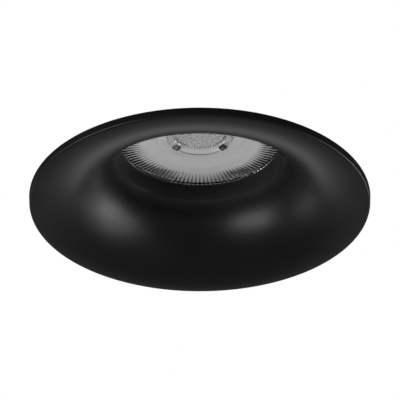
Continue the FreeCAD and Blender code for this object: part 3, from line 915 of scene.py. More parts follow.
@dataclass
class Bezel:
    """The die-cast bezel: rim, bell, throat, collar and spigot in one casting."""

    shop: PaintShop
    flange_thickness: float = 2.2 * MM
    rim_draft: float = 0.2 * MM
    rim_round: float = 0.45 * MM
    bell_depth: float = 20.0 * MM
    bell_reach: float = 24.0 * MM
    bell_wall: float = 2.2 * MM
    lip_radius: float = 24.5 * MM
    lip_height: float = 21.7 * MM
    seat_height: float = 22.55 * MM
    collar_bore: float = 25.5 * MM
    collar_wall: float = 2.0 * MM
    groove_radius: float = 26.1 * MM
    groove_low: float = 27.6 * MM
    groove_high: float = 29.3 * MM
    spigot_radius: float = 41.5 * MM
    spigot_wall: float = 1.6 * MM
    spigot_height: float = 3.0 * MM
    gasket_outer: float = 48.3 * MM
    gasket_depth: float = 0.7 * MM
    lug_inner: float = 3.75 * MM
    lug_thickness: float = 2.5 * MM
    lug_radius: float = 3.2 * MM
    rest_deg: float = 12.0
    notch_half: float = 9.67 * MM
    steps: int = 256
    bell_steps: int = 56
    rim_steps: int = 8
    back_steps: int = 20
    back_start_deg: float = 244.4
    soft: float = 0.35 * MM
    crisp: float = 0.15 * MM
    foot_inner: float = 1.1
    foot_outer: float = 1.6
    lug_round: float = 0.3 * MM
    web_round: float = 0.15 * MM
    stop_start: float = 5.6 * MM
    stop_end: float = 7.6 * MM
    stop_depth: float = 4.0 * MM
    pin_clearance: float = 0.05 * MM

    @property
    def lug_middle(self) -> float:
        """Distance of a lug's middle from the plane of the clips."""
        return self.lug_inner + self.lug_thickness / 2

    def profile(self) -> Profile:
        """Outline of the casting, as a closed profile.

        Returns:
            The profile, whose last point repeats its first.
        """
        rim_radius, _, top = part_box("bezel")[1]
        edge = rim_radius - self.rim_draft
        mouth = edge - self.rim_round
        throat = mouth - self.bell_reach
        bell_top = self.bell_depth - self.flange_thickness
        collar = self.collar_bore + self.collar_wall
        outline = arc_points((mouth, bell_top), (self.bell_reach, self.bell_depth), 180, 270, self.bell_steps)
        rim_centre = (mouth, self.rim_round - self.flange_thickness)
        outline += arc_points(rim_centre, (self.rim_round, self.rim_round), 270, 360, self.rim_steps)[1:]
        back_reach = (mouth - collar, self.bell_depth - self.bell_wall)
        back = arc_points((mouth, bell_top), back_reach, self.back_start_deg, 180, self.back_steps)
        spigot_bore = self.spigot_radius - self.spigot_wall
        soft, crisp = self.soft, self.crisp
        corners = [
            (rim_radius, 0.0, crisp),
            (self.gasket_outer, 0.0, crisp),
            (self.gasket_outer, -self.gasket_depth, 0.0),
            (self.spigot_radius, -self.gasket_depth, crisp),
            (self.spigot_radius, self.spigot_height, soft),
            (spigot_bore, self.spigot_height, soft),
        ]
        rim_edge = (edge, -self.rim_draft, 0.0)
        outline += eased([rim_edge, *corners, (*back[0], 0.0)])[1:-2]
        outline += back
        inside = eased([
            (collar, bell_top, 0.0),
            (collar, top, soft),
            (self.collar_bore, top, soft),
            (self.collar_bore, self.groove_high, 0.0),
            (self.groove_radius, self.groove_high, crisp),
            (self.groove_radius, self.groove_low, crisp),
            (self.collar_bore, self.groove_low, 0.0),
            (self.collar_bore, self.seat_height, crisp),
            (self.lip_radius, self.seat_height, crisp),
            (self.lip_radius, self.lip_height, crisp),
            (throat, bell_top, 0.0),
        ])
        outline += inside[1:-2]
        outline.append(outline[0])
        return outline

    def lug_outline(self, pivot: Vector) -> Profile:
        """Side outline of a lug: a foot inside the bell's wall, and an eye round the pin.

        Args:
            pivot: Centre of the pivot pin.

        Returns:
            The outline as (distance from the axis, height) points.
        """
        foot_inner = pivot.x - self.foot_inner * self.lug_radius
        foot_outer = pivot.x + self.foot_outer * self.lug_radius
        eye = (self.lug_radius, self.lug_radius)
        outline = [(foot_inner, pivot.z - 0.5 * self.lug_radius)]
        outline += arc_points((pivot.x, pivot.z), eye, 160, 30, 20)
        outline += [(foot_outer, pivot.z - 1.5 * self.lug_radius)]
        return outline + self.in_wall(foot_outer, foot_inner)

    def in_wall(self, start: float, end: float, steps: int = 8) -> Profile:
        """Places along the middle of the bell's wall between two distances from the axis.

        Args:
            start: First distance.
            end: Last distance.
            steps: Number of steps between them.

        Returns:
            The places as (distance from the axis, height) points.
        """
        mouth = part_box("bezel")[1].x - self.rim_draft - self.rim_round
        centre = self.bell_depth - self.flange_thickness
        inner = self.collar_bore + self.collar_wall / 2
        places = []
        for step in range(steps + 1):
            x = start + (end - start) * step / steps
            share = (mouth - math.hypot(x, self.lug_middle)) / (mouth - inner)
            depth = (self.bell_depth - self.bell_wall / 2) * math.sqrt(max(0.0, 1 - share * share))
            places.append((x, centre - depth))
        return places

    def seat(self) -> list[bpy.types.Object]:
        """The two lugs of the right clip and the web that stops its arm.

        Returns:
            The two lugs and the web.
        """
        low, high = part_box("clip_pin_right")
        pivot = (low + high) / 2
        outline = self.lug_outline(pivot)
        pieces = []
        for y in (self.lug_inner, -self.lug_inner - self.lug_thickness):
            lug = extruded("lug", [(x, y, z) for x, z in outline], (0, self.lug_thickness, 0))
            pieces.append(with_rounded_edges(lug, self.lug_round, 3, 40.0))
        tilt = math.radians(self.rest_deg)
        stops = []
        under = -self.stop_depth
        for along in (self.stop_start, self.stop_end):
            x = pivot.x + along * math.cos(tilt) + under * math.sin(tilt)
            stops.append((x, pivot.z - along * math.sin(tilt) + under * math.cos(tilt)))
        web = [*stops, *self.in_wall(stops[1][0], stops[0][0], 4)]
        reach = self.lug_inner + self.lug_thickness
        piece = extruded("web", [(x, -reach, z) for x, z in web], (0, 2 * reach, 0))
        pieces.append(with_rounded_edges(piece, self.web_round, 2, 40.0))
        return pieces

    def build(self) -> None:
        """Model the casting and set it in place of its node."""
        casting = turned("bezel_casting", self.profile(), self.steps)
        for piece in self.seat():
            twin = copied(piece, "twin", 180)
            combined(casting, piece, "UNION")
            combined(casting, twin, "UNION")
        low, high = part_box("clip_pin_right")
        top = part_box("bezel")[1].z
        pivot = (low + high) / 2
        for side in (1, -1):
            middle = Vector((side * pivot.x, 0, pivot.z))
            reach = Vector((0, 2 * high.y, 0))
            bore = (high.x - low.x) / 2 + self.pin_clearance
            hole = rod("hole", middle - reach, middle + reach, bore, 40)
            combined(casting, hole, "DIFFERENCE")
        half = self.notch_half
        outside = 1.1 * (self.collar_bore + self.collar_wall)
        corner = (half, -0.8 * self.collar_bore, top + MM)
        notch = block("notch", (-half, -outside, self.groove_low), corner)
        combined(casting, notch, "DIFFERENCE")
        smoothed(casting, 28.0)
        self.shop.finish_piece(casting, "fixture", "bezel_black", ["bezel"])


# ---- Gasket and retaining ring ----


@dataclass
class Seating:
    """What seats the bezel on the board and the lamp in the bezel."""

    shop: PaintShop
    wire_radius: float = 0.8 * MM
    half_gap_deg: float = 18.0
    bend: float = 2.0 * MM
    wire_sides: int = 16
    foam_crisp: float = 0.05 * MM
    foam_soft: float = 0.3 * MM
    ring_steps: int = 108
    bend_steps: int = 8

    def gasket(self) -> bpy.types.Object:
        """The foam ring in the back of the flange, with soft edges.

        Returns:
            The finished piece.
        """
        low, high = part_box("ceiling_gasket")
        hidden, shown = self.foam_crisp, self.foam_soft
        corners = [
            (CUTOUT_RADIUS, low.z, hidden), (high.x, low.z, hidden),
            (high.x, high.z, shown), (CUTOUT_RADIUS, high.z, shown),
        ]
        return smoothed(turned("gasket_foam_ring", eased(corners, 5), 192))

    def ring(self) -> bpy.types.Object:
        """The open ring of round wire, whose two ends stand up as finger grips.

        Returns:
            The finished piece.
        """
        low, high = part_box("lamp_retaining_ring")
        radius = high.x - self.wire_radius
        height = low.z + self.wire_radius
        half_gap = math.radians(self.half_gap_deg)
        clear_bench()
        bpy.ops.mesh.primitive_circle_add(
            vertices=self.wire_sides, radius=self.wire_radius, location=(0, -radius, height),
            rotation=(0, math.radians(90), 0),
        )
        piece = bpy.context.active_object
        bpy.ops.object.transform_apply(location=True, rotation=True, scale=True)
        piece.rotation_euler.z = half_gap
        bpy.ops.object.transform_apply(location=True, rotation=True, scale=True)
        with editing(piece):
            bpy.ops.mesh.select_all(action="SELECT")
            bpy.ops.mesh.spin(
                steps=self.ring_steps, angle=2 * half_gap - FULL_TURN, center=(0, 0, 0), axis=(0, 0, 1)
            )
        for side in (1, -1):
            turn = side * half_gap
            out = Vector((math.sin(turn), -math.cos(turn), 0))
            centre = out * radius + Vector((0, 0, height))
            pick(piece, lambda place: (place - centre).length < 1.01 * self.wire_radius)
            with editing(piece):
                bpy.ops.mesh.spin(
                    steps=self.bend_steps, angle=side * math.radians(90), axis=out,
                    center=centre + Vector((0, 0, self.bend)),
                )
                rise = high.z - height - self.bend
                bpy.ops.mesh.extrude_region_move(TRANSFORM_OT_translate={"value": (0, 0, rise)})
                bpy.ops.mesh.edge_face_add()
        settled(piece, "retaining_ring_wire")
        return smoothed(with_rounded_edges(piece, 0.2 * MM, 3, 60.0))

    def build(self) -> None:
        """Model both rings and set them in place."""
        self.shop.finish_piece(self.gasket(), "fixture", "gasket_foam", ["ceiling_gasket"])
        self.shop.finish_piece(self.ring(), "fixture", "spring_steel", ["lamp_retaining_ring"])


# ---- Lamp ----


@dataclass(frozen=True)
class Ring:
    """One ring of a form that is built ring by ring; teeth push every so many spokes by groove."""

    radius: float
    height: float
    groove: float = 0.0
    every: int = 1


@dataclass
class Lamp:
    """The reflector lamp: moulded lens, reflector, finned heat sink, plug base and pins."""

    shop: PaintShop
    rib_count: int = 112
    rib_segments: int = 4
    rib_depth: float = 0.22 * MM
    rib_outer: float = 24.6 * MM
    step_radius: float = 16.8 * MM
    recess: float = 1.4 * MM
    ring_wall: float = 1.5 * MM
    prism_radius: float = 7.7 * MM
    prism_depth: float = 2.5 * MM
    prism_wall: float = 1.1 * MM
    well_radius: float = 13.4 * MM
    foot_half: float = 0.8 * MM
    foot_radius: float = 10.2 * MM
    fin_count: int = 18
    fin_half: float = 0.65 * MM
    pin_neck: float = 1.55 * MM
    pin_spread: float = 5.0 * MM
    skirt_wall: float = 0.25 * MM
    reflector_outer: float = 24.6 * MM
    reflector_wall: float = 0.5 * MM
    chip_opening: float = 5.6 * MM
    funnel_radius: float = 9.0 * MM
    sink_rim: float = 2.4 * MM
    sink_floor: float = 3.0 * MM
    cup_radius: float = 13.5 * MM
    chamber_radius: float = 10.5 * MM
    fin_inner: float = 18.4 * MM
    fin_outer: float = 23.4 * MM
    fin_round: float = 0.28 * MM
    waist_height: float = 6.0 * MM
    waist_depth: float = 0.35 * MM
    head_height: float = 2.0 * MM

    def lens_rings(self) -> tuple[list[Ring], list[Ring]]:
        """Rings of the lens's front and of its back, each from the rim to the middle.

        Returns:
            The rings of the front and those of the back.
        """
        low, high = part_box("lamp_lens")
        face, back, outer = low.z, high.z, high.x
        floor = face + self.recess
        deep = face + self.prism_depth
        inner_skirt = outer - self.skirt_wall
        front = [
            Ring(outer, face + 0.25 * MM),
            Ring(outer - 0.15 * MM, face + 0.02 * MM),
            Ring(self.rib_outer, face),
            Ring(self.rib_outer - 0.2 * MM, face, self.rib_depth),
            Ring(21.8 * MM, face, 0.85 * self.rib_depth),
            Ring(19.4 * MM, face, 0.55 * self.rib_depth),
            Ring(self.step_radius + 0.5 * MM, face, 0.15 * self.rib_depth),
            Ring(self.step_radius, face + 0.04 * MM),
            Ring(self.step_radius - 1.3 * MM, face + 0.3 * self.recess),
            Ring(self.step_radius - 2.8 * MM, face + 0.62 * self.recess),
            Ring(self.step_radius - 4.6 * MM, face + 0.86 * self.recess),
            Ring(self.prism_radius + 1.9 * MM, floor),
            Ring(self.prism_radius + 0.7 * MM, deep - 0.3 * MM),
            Ring(self.prism_radius + 0.3 * MM, deep, -0.45 * MM, 2),
            Ring(self.prism_radius - 0.5 * MM, deep),
        ]
        behind = [
            Ring(outer, back),
            Ring(inner_skirt, back),
            Ring(inner_skirt - 0.1 * MM, face + self.ring_wall),
            Ring(self.step_radius - 0.2 * MM, face + self.ring_wall),
            Ring(self.step_radius - 2.4 * MM, face + self.ring_wall + 0.45 * MM),
            Ring(self.prism_radius + 2.6 * MM, back - 0.3 * MM),
            Ring(self.prism_radius + 1.2 * MM, deep + self.prism_wall),
        ]
        return front, behind

    def lens(self) -> bpy.types.Object:
        """The clear lens with its fine radial ribs, recessed middle and prism centre.

        Returns:
            The finished piece.
        """
        front, behind = self.lens_rings()
        start = behind[0]
        clear_bench()
        bpy.ops.mesh.primitive_circle_add(
            vertices=self.rib_count * self.rib_segments, radius=start.radius,
            location=(0, 0, start.height),
        )
        piece = bpy.context.active_object
        bpy.ops.object.transform_apply(location=True, rotation=True, scale=True)
        for rings in (front, behind[1:]):
            pick(piece, self._on_ring(start))
            with editing(piece):
                here = start
                for ring in rings:
                    self._next_ring(here, ring)
                    here = ring
                bpy.ops.mesh.extrude_region_move(TRANSFORM_OT_translate={"value": (0, 0, 0)})
                bpy.ops.mesh.merge(type="CENTER")
        settled(piece, "lamp_lens_moulding")
        for ring in front:
            if ring.groove:
                pick(piece, self._on_ring(ring, self.rib_segments * ring.every))
                with editing(piece):
                    bpy.ops.transform.translate(value=(0, 0, ring.groove))
        return smoothed(piece, 25.0)

    @staticmethod
    def _next_ring(here: Ring, ring: Ring) -> None:
        """Extrude the selected ring and shape the new one to its radius and height.

        Args:
            here: The ring that is selected.
            ring: The ring to make.
        """
        bpy.ops.mesh.extrude_region_move(
            TRANSFORM_OT_translate={"value": (0, 0, ring.height - here.height)}
        )
        share = ring.radius / here.radius
        bpy.ops.transform.resize(value=(share, share, 1), center_override=(0, 0, ring.height))

    def _on_ring(self, ring: Ring, every: int = 1) -> Callable[[Vector], bool]:
        """A test for the places on a ring, or on one spoke of it in so many.

        Args:
            ring: The ring.
            every: One spoke in so many.

        Returns:
            The test of a vertex's place.
        """
        pitch = FULL_TURN / (self.rib_count * self.rib_segments) * every
        slack = 0.01 * MM

        def test(place: Vector) -> bool:
            turn = math.atan2(place.y, place.x) / pitch
            on_spoke = every == 1 or abs(turn - round(turn)) * every < 0.3
            near = abs(math.hypot(place.x, place.y) - ring.radius) < slack
            return near and on_spoke and abs(place.z - ring.height) < slack

        return test

    def reflector(self) -> bpy.types.Object:
        """The white reflector: a flange behind the ribs and a funnel down to the light chip.

        Returns:
            The finished piece.
        """
        low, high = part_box("lamp_lens")
        flange = low.z + self.ring_wall + 0.15 * MM
        neck = high.z + 0.1 * MM
        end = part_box("led_board")[0].z - 0.1 * MM
        wall = self.reflector_wall
        corners = [
            (self.reflector_outer, flange, 0.1 * MM),
            (self.reflector_outer, high.z - 0.05 * MM, 0.1 * MM),
            (self.well_radius, high.z - 0.05 * MM, 0.0),
            (self.well_radius, neck + wall, 0.1 * MM),
            (self.chip_opening + wall, end, 0.1 * MM),
            (self.chip_opening, end, 0.1 * MM),
            (self.funnel_radius, neck + 4.6 * MM, 1.2 * MM),
            (12.6 * MM, neck, 0.6 * MM),
            (13.1 * MM, high.z - 0.2 * MM, 0.2 * MM),
            (14.2 * MM, high.z - 0.2 * MM, 0.2 * MM),
            (16.8 * MM, flange, 0.2 * MM),
        ]
        return smoothed(turned("lamp_reflector", eased(corners), 160))

    def feet(self) -> bpy.types.Object:
        """The four dark feet that hold the prism centre from behind.

        Returns:
            The finished piece.
        """
        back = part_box("lamp_lens")[1].z
        half = Vector((self.foot_half, 1.4 * self.foot_half, 0))
        lift, top = Vector((0, 0, back - 0.1 * MM)), Vector((0, 0, back + 1.1 * MM))
        spot = Vector((self.foot_radius, 0, 0))
        foot = with_rounded_edges(block("foot", spot - half + lift, spot + half + top), 0.25 * MM)
        feet = [copied(foot, "foot", 45 + 90 * index) for index in range(4)]
        bpy.data.objects.remove(foot)
        return smoothed(joined(feet, "lens_feet"))

    def heatsink(self) -> bpy.types.Object:
        """The cast cup with its radial fins.

        Returns:
            The finished piece.
        """
        low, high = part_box("lamp_heatsink")
        rim = low.z + self.sink_rim
        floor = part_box("led_board")[1].z
        over = floor + self.sink_floor
        corners = [
            (high.x, low.z, 0.2 * MM), (high.x, rim, 0.5 * MM), (19.2 * MM, rim, 0.2 * MM),
            (13.0 * MM, high.z, 0.3 * MM), (self.chamber_radius, high.z, 0.2 * MM),
            (self.chamber_radius, over, 0.2 * MM), (0.0, over, 0.0), (0.0, floor, 0.0),
            (self.cup_radius, floor, 0.2 * MM), (self.cup_radius, low.z, 0.2 * MM),
        ]
        shell = turned("lamp_heatsink_casting", eased(corners), 144)
        inner, outer = self.fin_inner, self.fin_outer
        outline = [
            (inner, rim - 0.3 * MM), (outer, rim - 0.3 * MM), (outer - 0.2 * MM, rim + 3 * MM),
            (22.4 * MM, rim + 7.4 * MM), (21.7 * MM, rim + 9.6 * MM),
            (15.5 * MM, high.z - 2.0 * MM), (14.6 * MM, high.z - 0.3 * MM),
            (13.8 * MM, high.z), (12.2 * MM, high.z - 0.1 * MM),
        ]
        fin = extruded(
            "fin", [(x, -self.fin_half, z) for x, z in outline], (0, 2 * self.fin_half, 0)
        )
        with_rounded_edges(fin, self.fin_round, 3, 40.0)
        turn = 360.0 / self.fin_count
        fins = [fin] + [copied(fin, "fin", turn * index) for index in range(1, self.fin_count)]
        return smoothed(combined(shell, joined(fins, "fins"), "UNION"))

    def base(self) -> bpy.types.Object:
        """The moulded plug base, with a waist line and an eased end.

        Returns:
            The finished piece.
        """
        low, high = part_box("lamp_base")
        waist = low.z + self.waist_height
        narrow = high.x - self.waist_depth
        corners = [
            (0.0, low.z, 0.0), (high.x, low.z, 0.3 * MM), (high.x, waist, 0.1 * MM),
            (narrow, waist + 0.3 * MM, 0.1 * MM),
            (narrow, waist + 0.9 * MM, 0.1 * MM), (high.x, waist + 1.2 * MM, 0.1 * MM),
            (high.x, high.z, 1.0 * MM), (3.0 * MM, high.z, 0.2 * MM),
            (2.6 * MM, high.z - 0.8 * MM, 0.2 * MM), (0.0, high.z - 0.8 * MM, 0.0),
        ]
        return smoothed(turned("lamp_base_moulding", eased(corners), 128))

    def pins(self) -> bpy.types.Object:
        """The two contact pins, turned with chamfered heads.

        Returns:
            The finished piece.
        """
        low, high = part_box("lamp_pins")
        head_reach = high.x - self.pin_spread
        head = high.z - self.head_height
        corners = [
            (0.0, low.z, 0.0), (self.pin_neck, low.z, 0.2 * MM), (self.pin_neck, head, 0.2 * MM),
            (head_reach, head, 0.2 * MM), (head_reach, high.z, 0.5 * MM), (0.0, high.z, 0.0),
        ]
        pin = turned("pin", eased(corners), 48)
        pin.location.x = self.pin_spread
        settled(pin, "pin")
        return smoothed(joined([pin, copied(pin, "pin", 180)], "lamp_pins_turned"))

    def build(self) -> None:
        """Model the lamp and set it in place."""
        finish = self.shop.finish_piece
        finish(self.lens(), "fixture", "lens_clear", ["lamp_lens"])
        finish(self.reflector(), "fixture", "sink_alloy", finish="reflector_white")
        finish(self.feet(), "fixture", "component_dark")
        finish(self.heatsink(), "fixture", "sink_alloy", ["lamp_heatsink"])
        finish(self.base(), "fixture", "base_white", ["lamp_base"])
        finish(self.pins(), "fixture", "pin_nickel", ["lamp_pins"])


# ---- Lampholder ----


@dataclass
class Lampholder:
    """The ceramic lampholder: body, cover and screws."""

    shop: PaintShop
    twist_deg: float = 35.0
    slot_half: float = 1.85 * MM
    pin_spread: float = 5.0 * MM
    entry_radius: float = 2.8 * MM
    plate_top: float = 74.0 * MM
    cavity_radius: float = 8.4 * MM
    screw_radius: float = 1.5 * MM
    screw_place: float = 11.8 * MM
    terminal_place: float = 5.5 * MM
    wire_height: float = 84.75 * MM
    wire_bore: float = 1.7 * MM
    driver_bore: float = 2.5 * MM
    pocket_half: tuple[float, float] = (3.2 * MM, 4.2 * MM)
    pocket_depth: float = 6.25 * MM
    body_round: float = 0.5 * MM
    cover_round: float = 0.8 * MM
    screw_gap: float = 0.05 * MM
    slot_width: float = 0.6 * MM
    cover_head: float = 1.8 * MM
    terminal_head: float = 1.5 * MM

    def slab(self, name: str, node: str) -> bpy.types.Object:
        """A slab with round ends in the space of a node.

        Args:
            name: Name of the piece.
            node: The CAD node whose space it fills.

        Returns:
            The slab.
        """
        low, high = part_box(node)
        half = high.y
        centre = high.x - half
        outline = arc_points((centre, 0), (half, half), -90, 90, 28)
        outline += arc_points((-centre, 0), (half, half), 90, 270, 28)
        places = [(x, y, low.z) for x, y in outline]
        return extruded(name, places, (0, 0, high.z - low.z))

    def drilled(
        self, piece: bpy.types.Object, radius: float, start: Sequence[float], end: Sequence[float]
    ) -> None:
        """Cut a round hole, and its twin half a turn round the Z axis.

        Args:
            piece: The mesh object to drill.
            radius: Radius of the hole.
            start: Centre of one end.
            end: Centre of the other end.
        """
        for side in (1, -1):
            turn = Vector((side, side, 1))
            drill = rod("drill", Vector(start) * turn, Vector(end) * turn, radius, 40)
            combined(piece, drill, "DIFFERENCE")

    def body(self) -> bpy.types.Object:
        """The ceramic body with its two keyholes.

        Returns:
            The finished piece.
        """
        low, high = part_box("lampholder_body")
        slab = self.slab("lampholder_body_ceramic", "lampholder_body")
        piece = with_rounded_edges(slab, self.body_round)
        reach, half = self.pin_spread, self.slot_half
        under, over = low.z - 1 * MM, self.plate_top + 1 * MM
        turn = math.radians(-self.twist_deg)
        arc = arc_points((0, 0), (reach + half, reach + half), -self.twist_deg, 0, 12)
        arc += arc_points((reach, 0), (half, half), 0, 180, 12)[1:]
        arc += arc_points((0, 0), (reach - half, reach - half), 0, -self.twist_deg, 8)[1:]
        way_in = (reach * math.cos(turn), reach * math.sin(turn))
        for half_turn in (0, 180):
            slot = extruded("slot", [(x, y, under) for x, y in arc], (0, 0, over - under))
            slot = turned_in_place(slot, half_turn)
            combined(piece, slot, "DIFFERENCE")
        self.drilled(piece, self.entry_radius, (*way_in, under), (*way_in, over))
        floor, top = self.plate_top, high.z + MM
        cavity = rod("cavity", Vector((0, 0, floor)), Vector((0, 0, top)), self.cavity_radius, 64)
        combined(piece, cavity, "DIFFERENCE")
        place, bore = self.screw_place, self.screw_radius + self.screw_gap
        self.drilled(piece, bore, (place, 0, floor), (place, 0, top))
        return smoothed(piece)

    def cover(self) -> bpy.types.Object:
        """The ceramic cover with its wire entries and screw holes.

        Returns:
            The finished piece.
        """
        low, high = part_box("lampholder_cover")
        slab = self.slab("lampholder_cover_ceramic", "lampholder_cover")
        piece = with_rounded_edges(slab, self.cover_round)
        pocket = Vector((*self.pocket_half, 0))
        for side in (1, -1):
            middle = Vector((side * self.terminal_place, 0, 0))
            floor, top = Vector((0, 0, low.z - MM)), Vector((0, 0, low.z + self.pocket_depth))
            pocket_tool = block("pocket", middle - pocket + floor, middle + pocket + top)
            combined(piece, pocket_tool, "DIFFERENCE")
            middle.z = self.wire_height
            entry = rod("entry", middle - Vector((0, high.y + MM, 0)), middle, self.wire_bore, 40)
            combined(piece, entry, "DIFFERENCE")
        place, over = self.terminal_place, high.z + MM
        self.drilled(piece, self.driver_bore, (place, 0, low.z), (place, 0, over))
        place, bore = self.screw_place, self.screw_radius + self.screw_gap
        self.drilled(piece, bore, (place, 0, low.z - MM), (place, 0, over))
        return smoothed(piece)

    def screws(self, node: str, name: str, head_height: float) -> bpy.types.Object:
        """A pair of slotted screws with domed heads, in the space of a node.

        Args:
            node: The CAD node whose space they fill.
            name: Name of the pair.
            head_height: Height of the heads.

        Returns:
            The pair.
        """
        low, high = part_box(node)
        head_radius = high.y
        place = high.x - head_radius
        under = high.z - head_height
        corners = [
            (0.0, low.z, 0.0), (self.screw_radius, low.z, 0.3 * MM), (self.screw_radius, under, 0.0),
            (head_radius, under, 0.15 * MM), (head_radius, high.z, 0.7 * MM), (0.0, high.z, 0.0),
        ]
        screw = turned("screw", eased(corners), 48)
        reach, half_slot, floor = 2 * head_radius, self.slot_width / 2, high.z - 0.45 * head_height
        slot = block("slot", (-reach, -half_slot, floor), (reach, half_slot, high.z + MM))
        combined(screw, slot, "DIFFERENCE")
        screw.location.x = place
        settled(screw, "screw")
        return smoothed(joined([screw, copied(screw, "screw", 180)], name))

    def build(self) -> None:
        """Model the lampholder and set it in place."""
        finish = self.shop.finish_piece
        finish(self.body(), "lampholder", "ceramic", ["lampholder_body"])
        finish(self.cover(), "lampholder", "ceramic", ["lampholder_cover"])
        screws = self.screws("cover_screws", "cover_screws_turned", self.cover_head)
        finish(screws, "lampholder", "screw_zinc", ["cover_screws"])
        screws = self.screws("terminal_screws", "terminal_screws_turned", self.terminal_head)
        finish(screws, "lampholder", "screw_zinc", ["terminal_screws"])


# ---- Spring clips ----


@dataclass
class SpringClip:
    """One spring clip, modelled on the right: its local X runs along the arm from the pivot."""

    shop: PaintShop
    rest_deg: float = 12.0
    cheek_radius: float = 2.8 * MM
    cheek_half: float = 3.45 * MM
    strip_top: float = -2.95 * MM
    strip: float = 1.0 * MM
    strip_end: float = 21.39 * MM
    gusset_end: float = 9.52 * MM
    hole_radius: float = 1.3 * MM
    sleeve_start: float = 12.49 * MM
    sleeve_wall: float = 1.1 * MM
    sleeve_ribs: int = 6
    wire: float = 0.5 * MM
    coil: float = 2.15 * MM
    coil_half: float = 1.65 * MM
    coil_start_deg: float = -162.0
    coil_turn_deg: float = 780.0
    leg: float = 6.72 * MM
    collar: float = 27.5 * MM
    bend_out: float = 1.1 * MM
    bend_in: float = 0.3 * MM
    channel_reach: float = 4.0 * MM
    window: tuple[float, float] = (8.4 * MM, 10.4 * MM)
    edge_round: float = 0.12 * MM
    sleeve_round: float = 0.9 * MM
    sleeve_rim: float = 1.06
    rib_waist: float = 0.92
    pin_proud: float = 0.7 * MM
    pin_flare: float = 0.45 * MM
    wire_sides: int = 14
    coil_steps: int = 78
    leg_gap: float = 0.05 * MM

    @property
    def pivot(self) -> Vector:
        """Centre of the pivot pin."""
        low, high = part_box("clip_pin_right")
        return Vector((low + high) / 2)

    def seated(
        self, piece: bpy.types.Object, name: str, turn_deg: float | None = None
    ) -> bpy.types.Object:
        """Turn a piece about the pin from its local axes and set it on the pivot.

        Args:
            piece: The mesh object.
            name: Its final name.
            turn_deg: Turn about the pin; the rest angle if none is given.

        Returns:
            The same object.
        """
        piece.rotation_euler.y = math.radians(self.rest_deg if turn_deg is None else turn_deg)
        piece.location = self.pivot
        return smoothed(settled(piece, name))

    def arm(self) -> bpy.types.Object:
        """The pressed arm: a folded channel round the pin that runs out into a flat strip.

        Returns:
            The finished piece.
        """
        top, bottom, half = self.strip_top, self.strip_top - self.strip, self.cheek_half
        inner = half - self.strip
        bend_out, bend_in, reach = self.bend_out, self.bend_in, self.channel_reach
        section = eased([
            (-half, reach, 0.0), (-half, bottom, bend_out), (half, bottom, bend_out),
            (half, reach, 0.0), (inner, reach, 0.0), (inner, top, bend_in), (-inner, top, bend_in),
            (-inner, reach, 0.0),
        ], 6)[:-1]
        start = -reach
        channel = extruded(
            "channel", [(start, y, z) for y, z in section], (self.gusset_end - start, 0, 0)
        )
        reach = self.cheek_radius
        side = arc_points((0, 0), (reach, reach), 210, 60, 24)
        side += [(self.gusset_end - 1.2 * MM, top + 0.25 * MM), (self.gusset_end + MM, top),
                 (self.gusset_end + MM, bottom - MM), (0.0, bottom - MM), (-1.4 * MM, top)]
        cheeks = extruded("cheeks", [(x, -2 * half, z) for x, z in side], (0, 4 * half, 0))
        arm = combined(channel, cheeks, "INTERSECT")
        strip = block("strip", (self.gusset_end - MM, -half, bottom), (self.strip_end, half, top))
        combined(arm, strip, "UNION")
        hole = rod("hole", Vector((0, -2 * half, 0)), Vector((0, 2 * half, 0)), self.hole_radius, 40)
        combined(arm, hole, "DIFFERENCE")
        near, far = self.window
        window = block("window", (near, -half / 2, 2 * bottom), (far, half / 2, 0))
        combined(arm, window, "DIFFERENCE")
        return self.seated(with_rounded_edges(arm, self.edge_round, 2, 50.0), "clip_arm_pressed_right")

    def sleeve(self) -> bpy.types.Object:
        """The rubber boot on the arm's tip, ribbed for grip.

        Returns:
            The finished piece.
        """
        low_z = self.strip_top - self.strip - self.sleeve_wall
        high_z = self.strip_top + self.sleeve_wall
        half, middle = self.cheek_half + self.sleeve_wall, (low_z + high_z) / 2
        corners = ((-half, low_z), (half, low_z), (half, high_z), (-half, high_z))
        section = eased([(*corner, self.sleeve_round) for corner in corners], 5)[:-1]
        end = self.strip_end + self.sleeve_wall
        pitch = (end - self.sleeve_start - 2.6 * MM) / self.sleeve_ribs
        rim, waist = self.sleeve_rim, self.rib_waist
        moves = [(0.3 * MM, rim), (1.0 * MM, 1.0)]
        rib = [(0.15 * pitch, waist), (0.25 * pitch, 1.0), (0.15 * pitch, 1 / waist), (0.45 * pitch, 1.0)]
        moves += rib * self.sleeve_ribs
        moves += [(0.8 * MM, 0.98), (0.4 * MM, 0.88), (0.1 * MM, 0.8)]
        first = 1 / rim
        places = [(self.sleeve_start, y * first, middle + (z - middle) * first) for y, z in section]
        sleeve = extruded("sleeve", places, (moves[0][0], 0, 0))
        front = self.sleeve_start + moves[0][0]
        pick(sleeve, lambda place: place.x > front - 0.01 * MM)
        with editing(sleeve, "FACE"):
            bpy.ops.transform.resize(value=(1, rim, rim), center_override=(front, 0, middle))
            for advance, share in moves[1:]:
                front += advance
                bpy.ops.mesh.extrude_region_move(TRANSFORM_OT_translate={"value": (advance, 0, 0)})
                bpy.ops.transform.resize(value=(1, share, share), center_override=(front, 0, middle))
        corner = (self.strip_end, self.cheek_half, self.strip_top)
        slot = block("slot", (0, -self.cheek_half, self.strip_top - self.strip), corner)
        combined(settled(sleeve, "sleeve"), slot, "DIFFERENCE")
        return self.seated(sleeve, "clip_sleeve_ribbed_right")

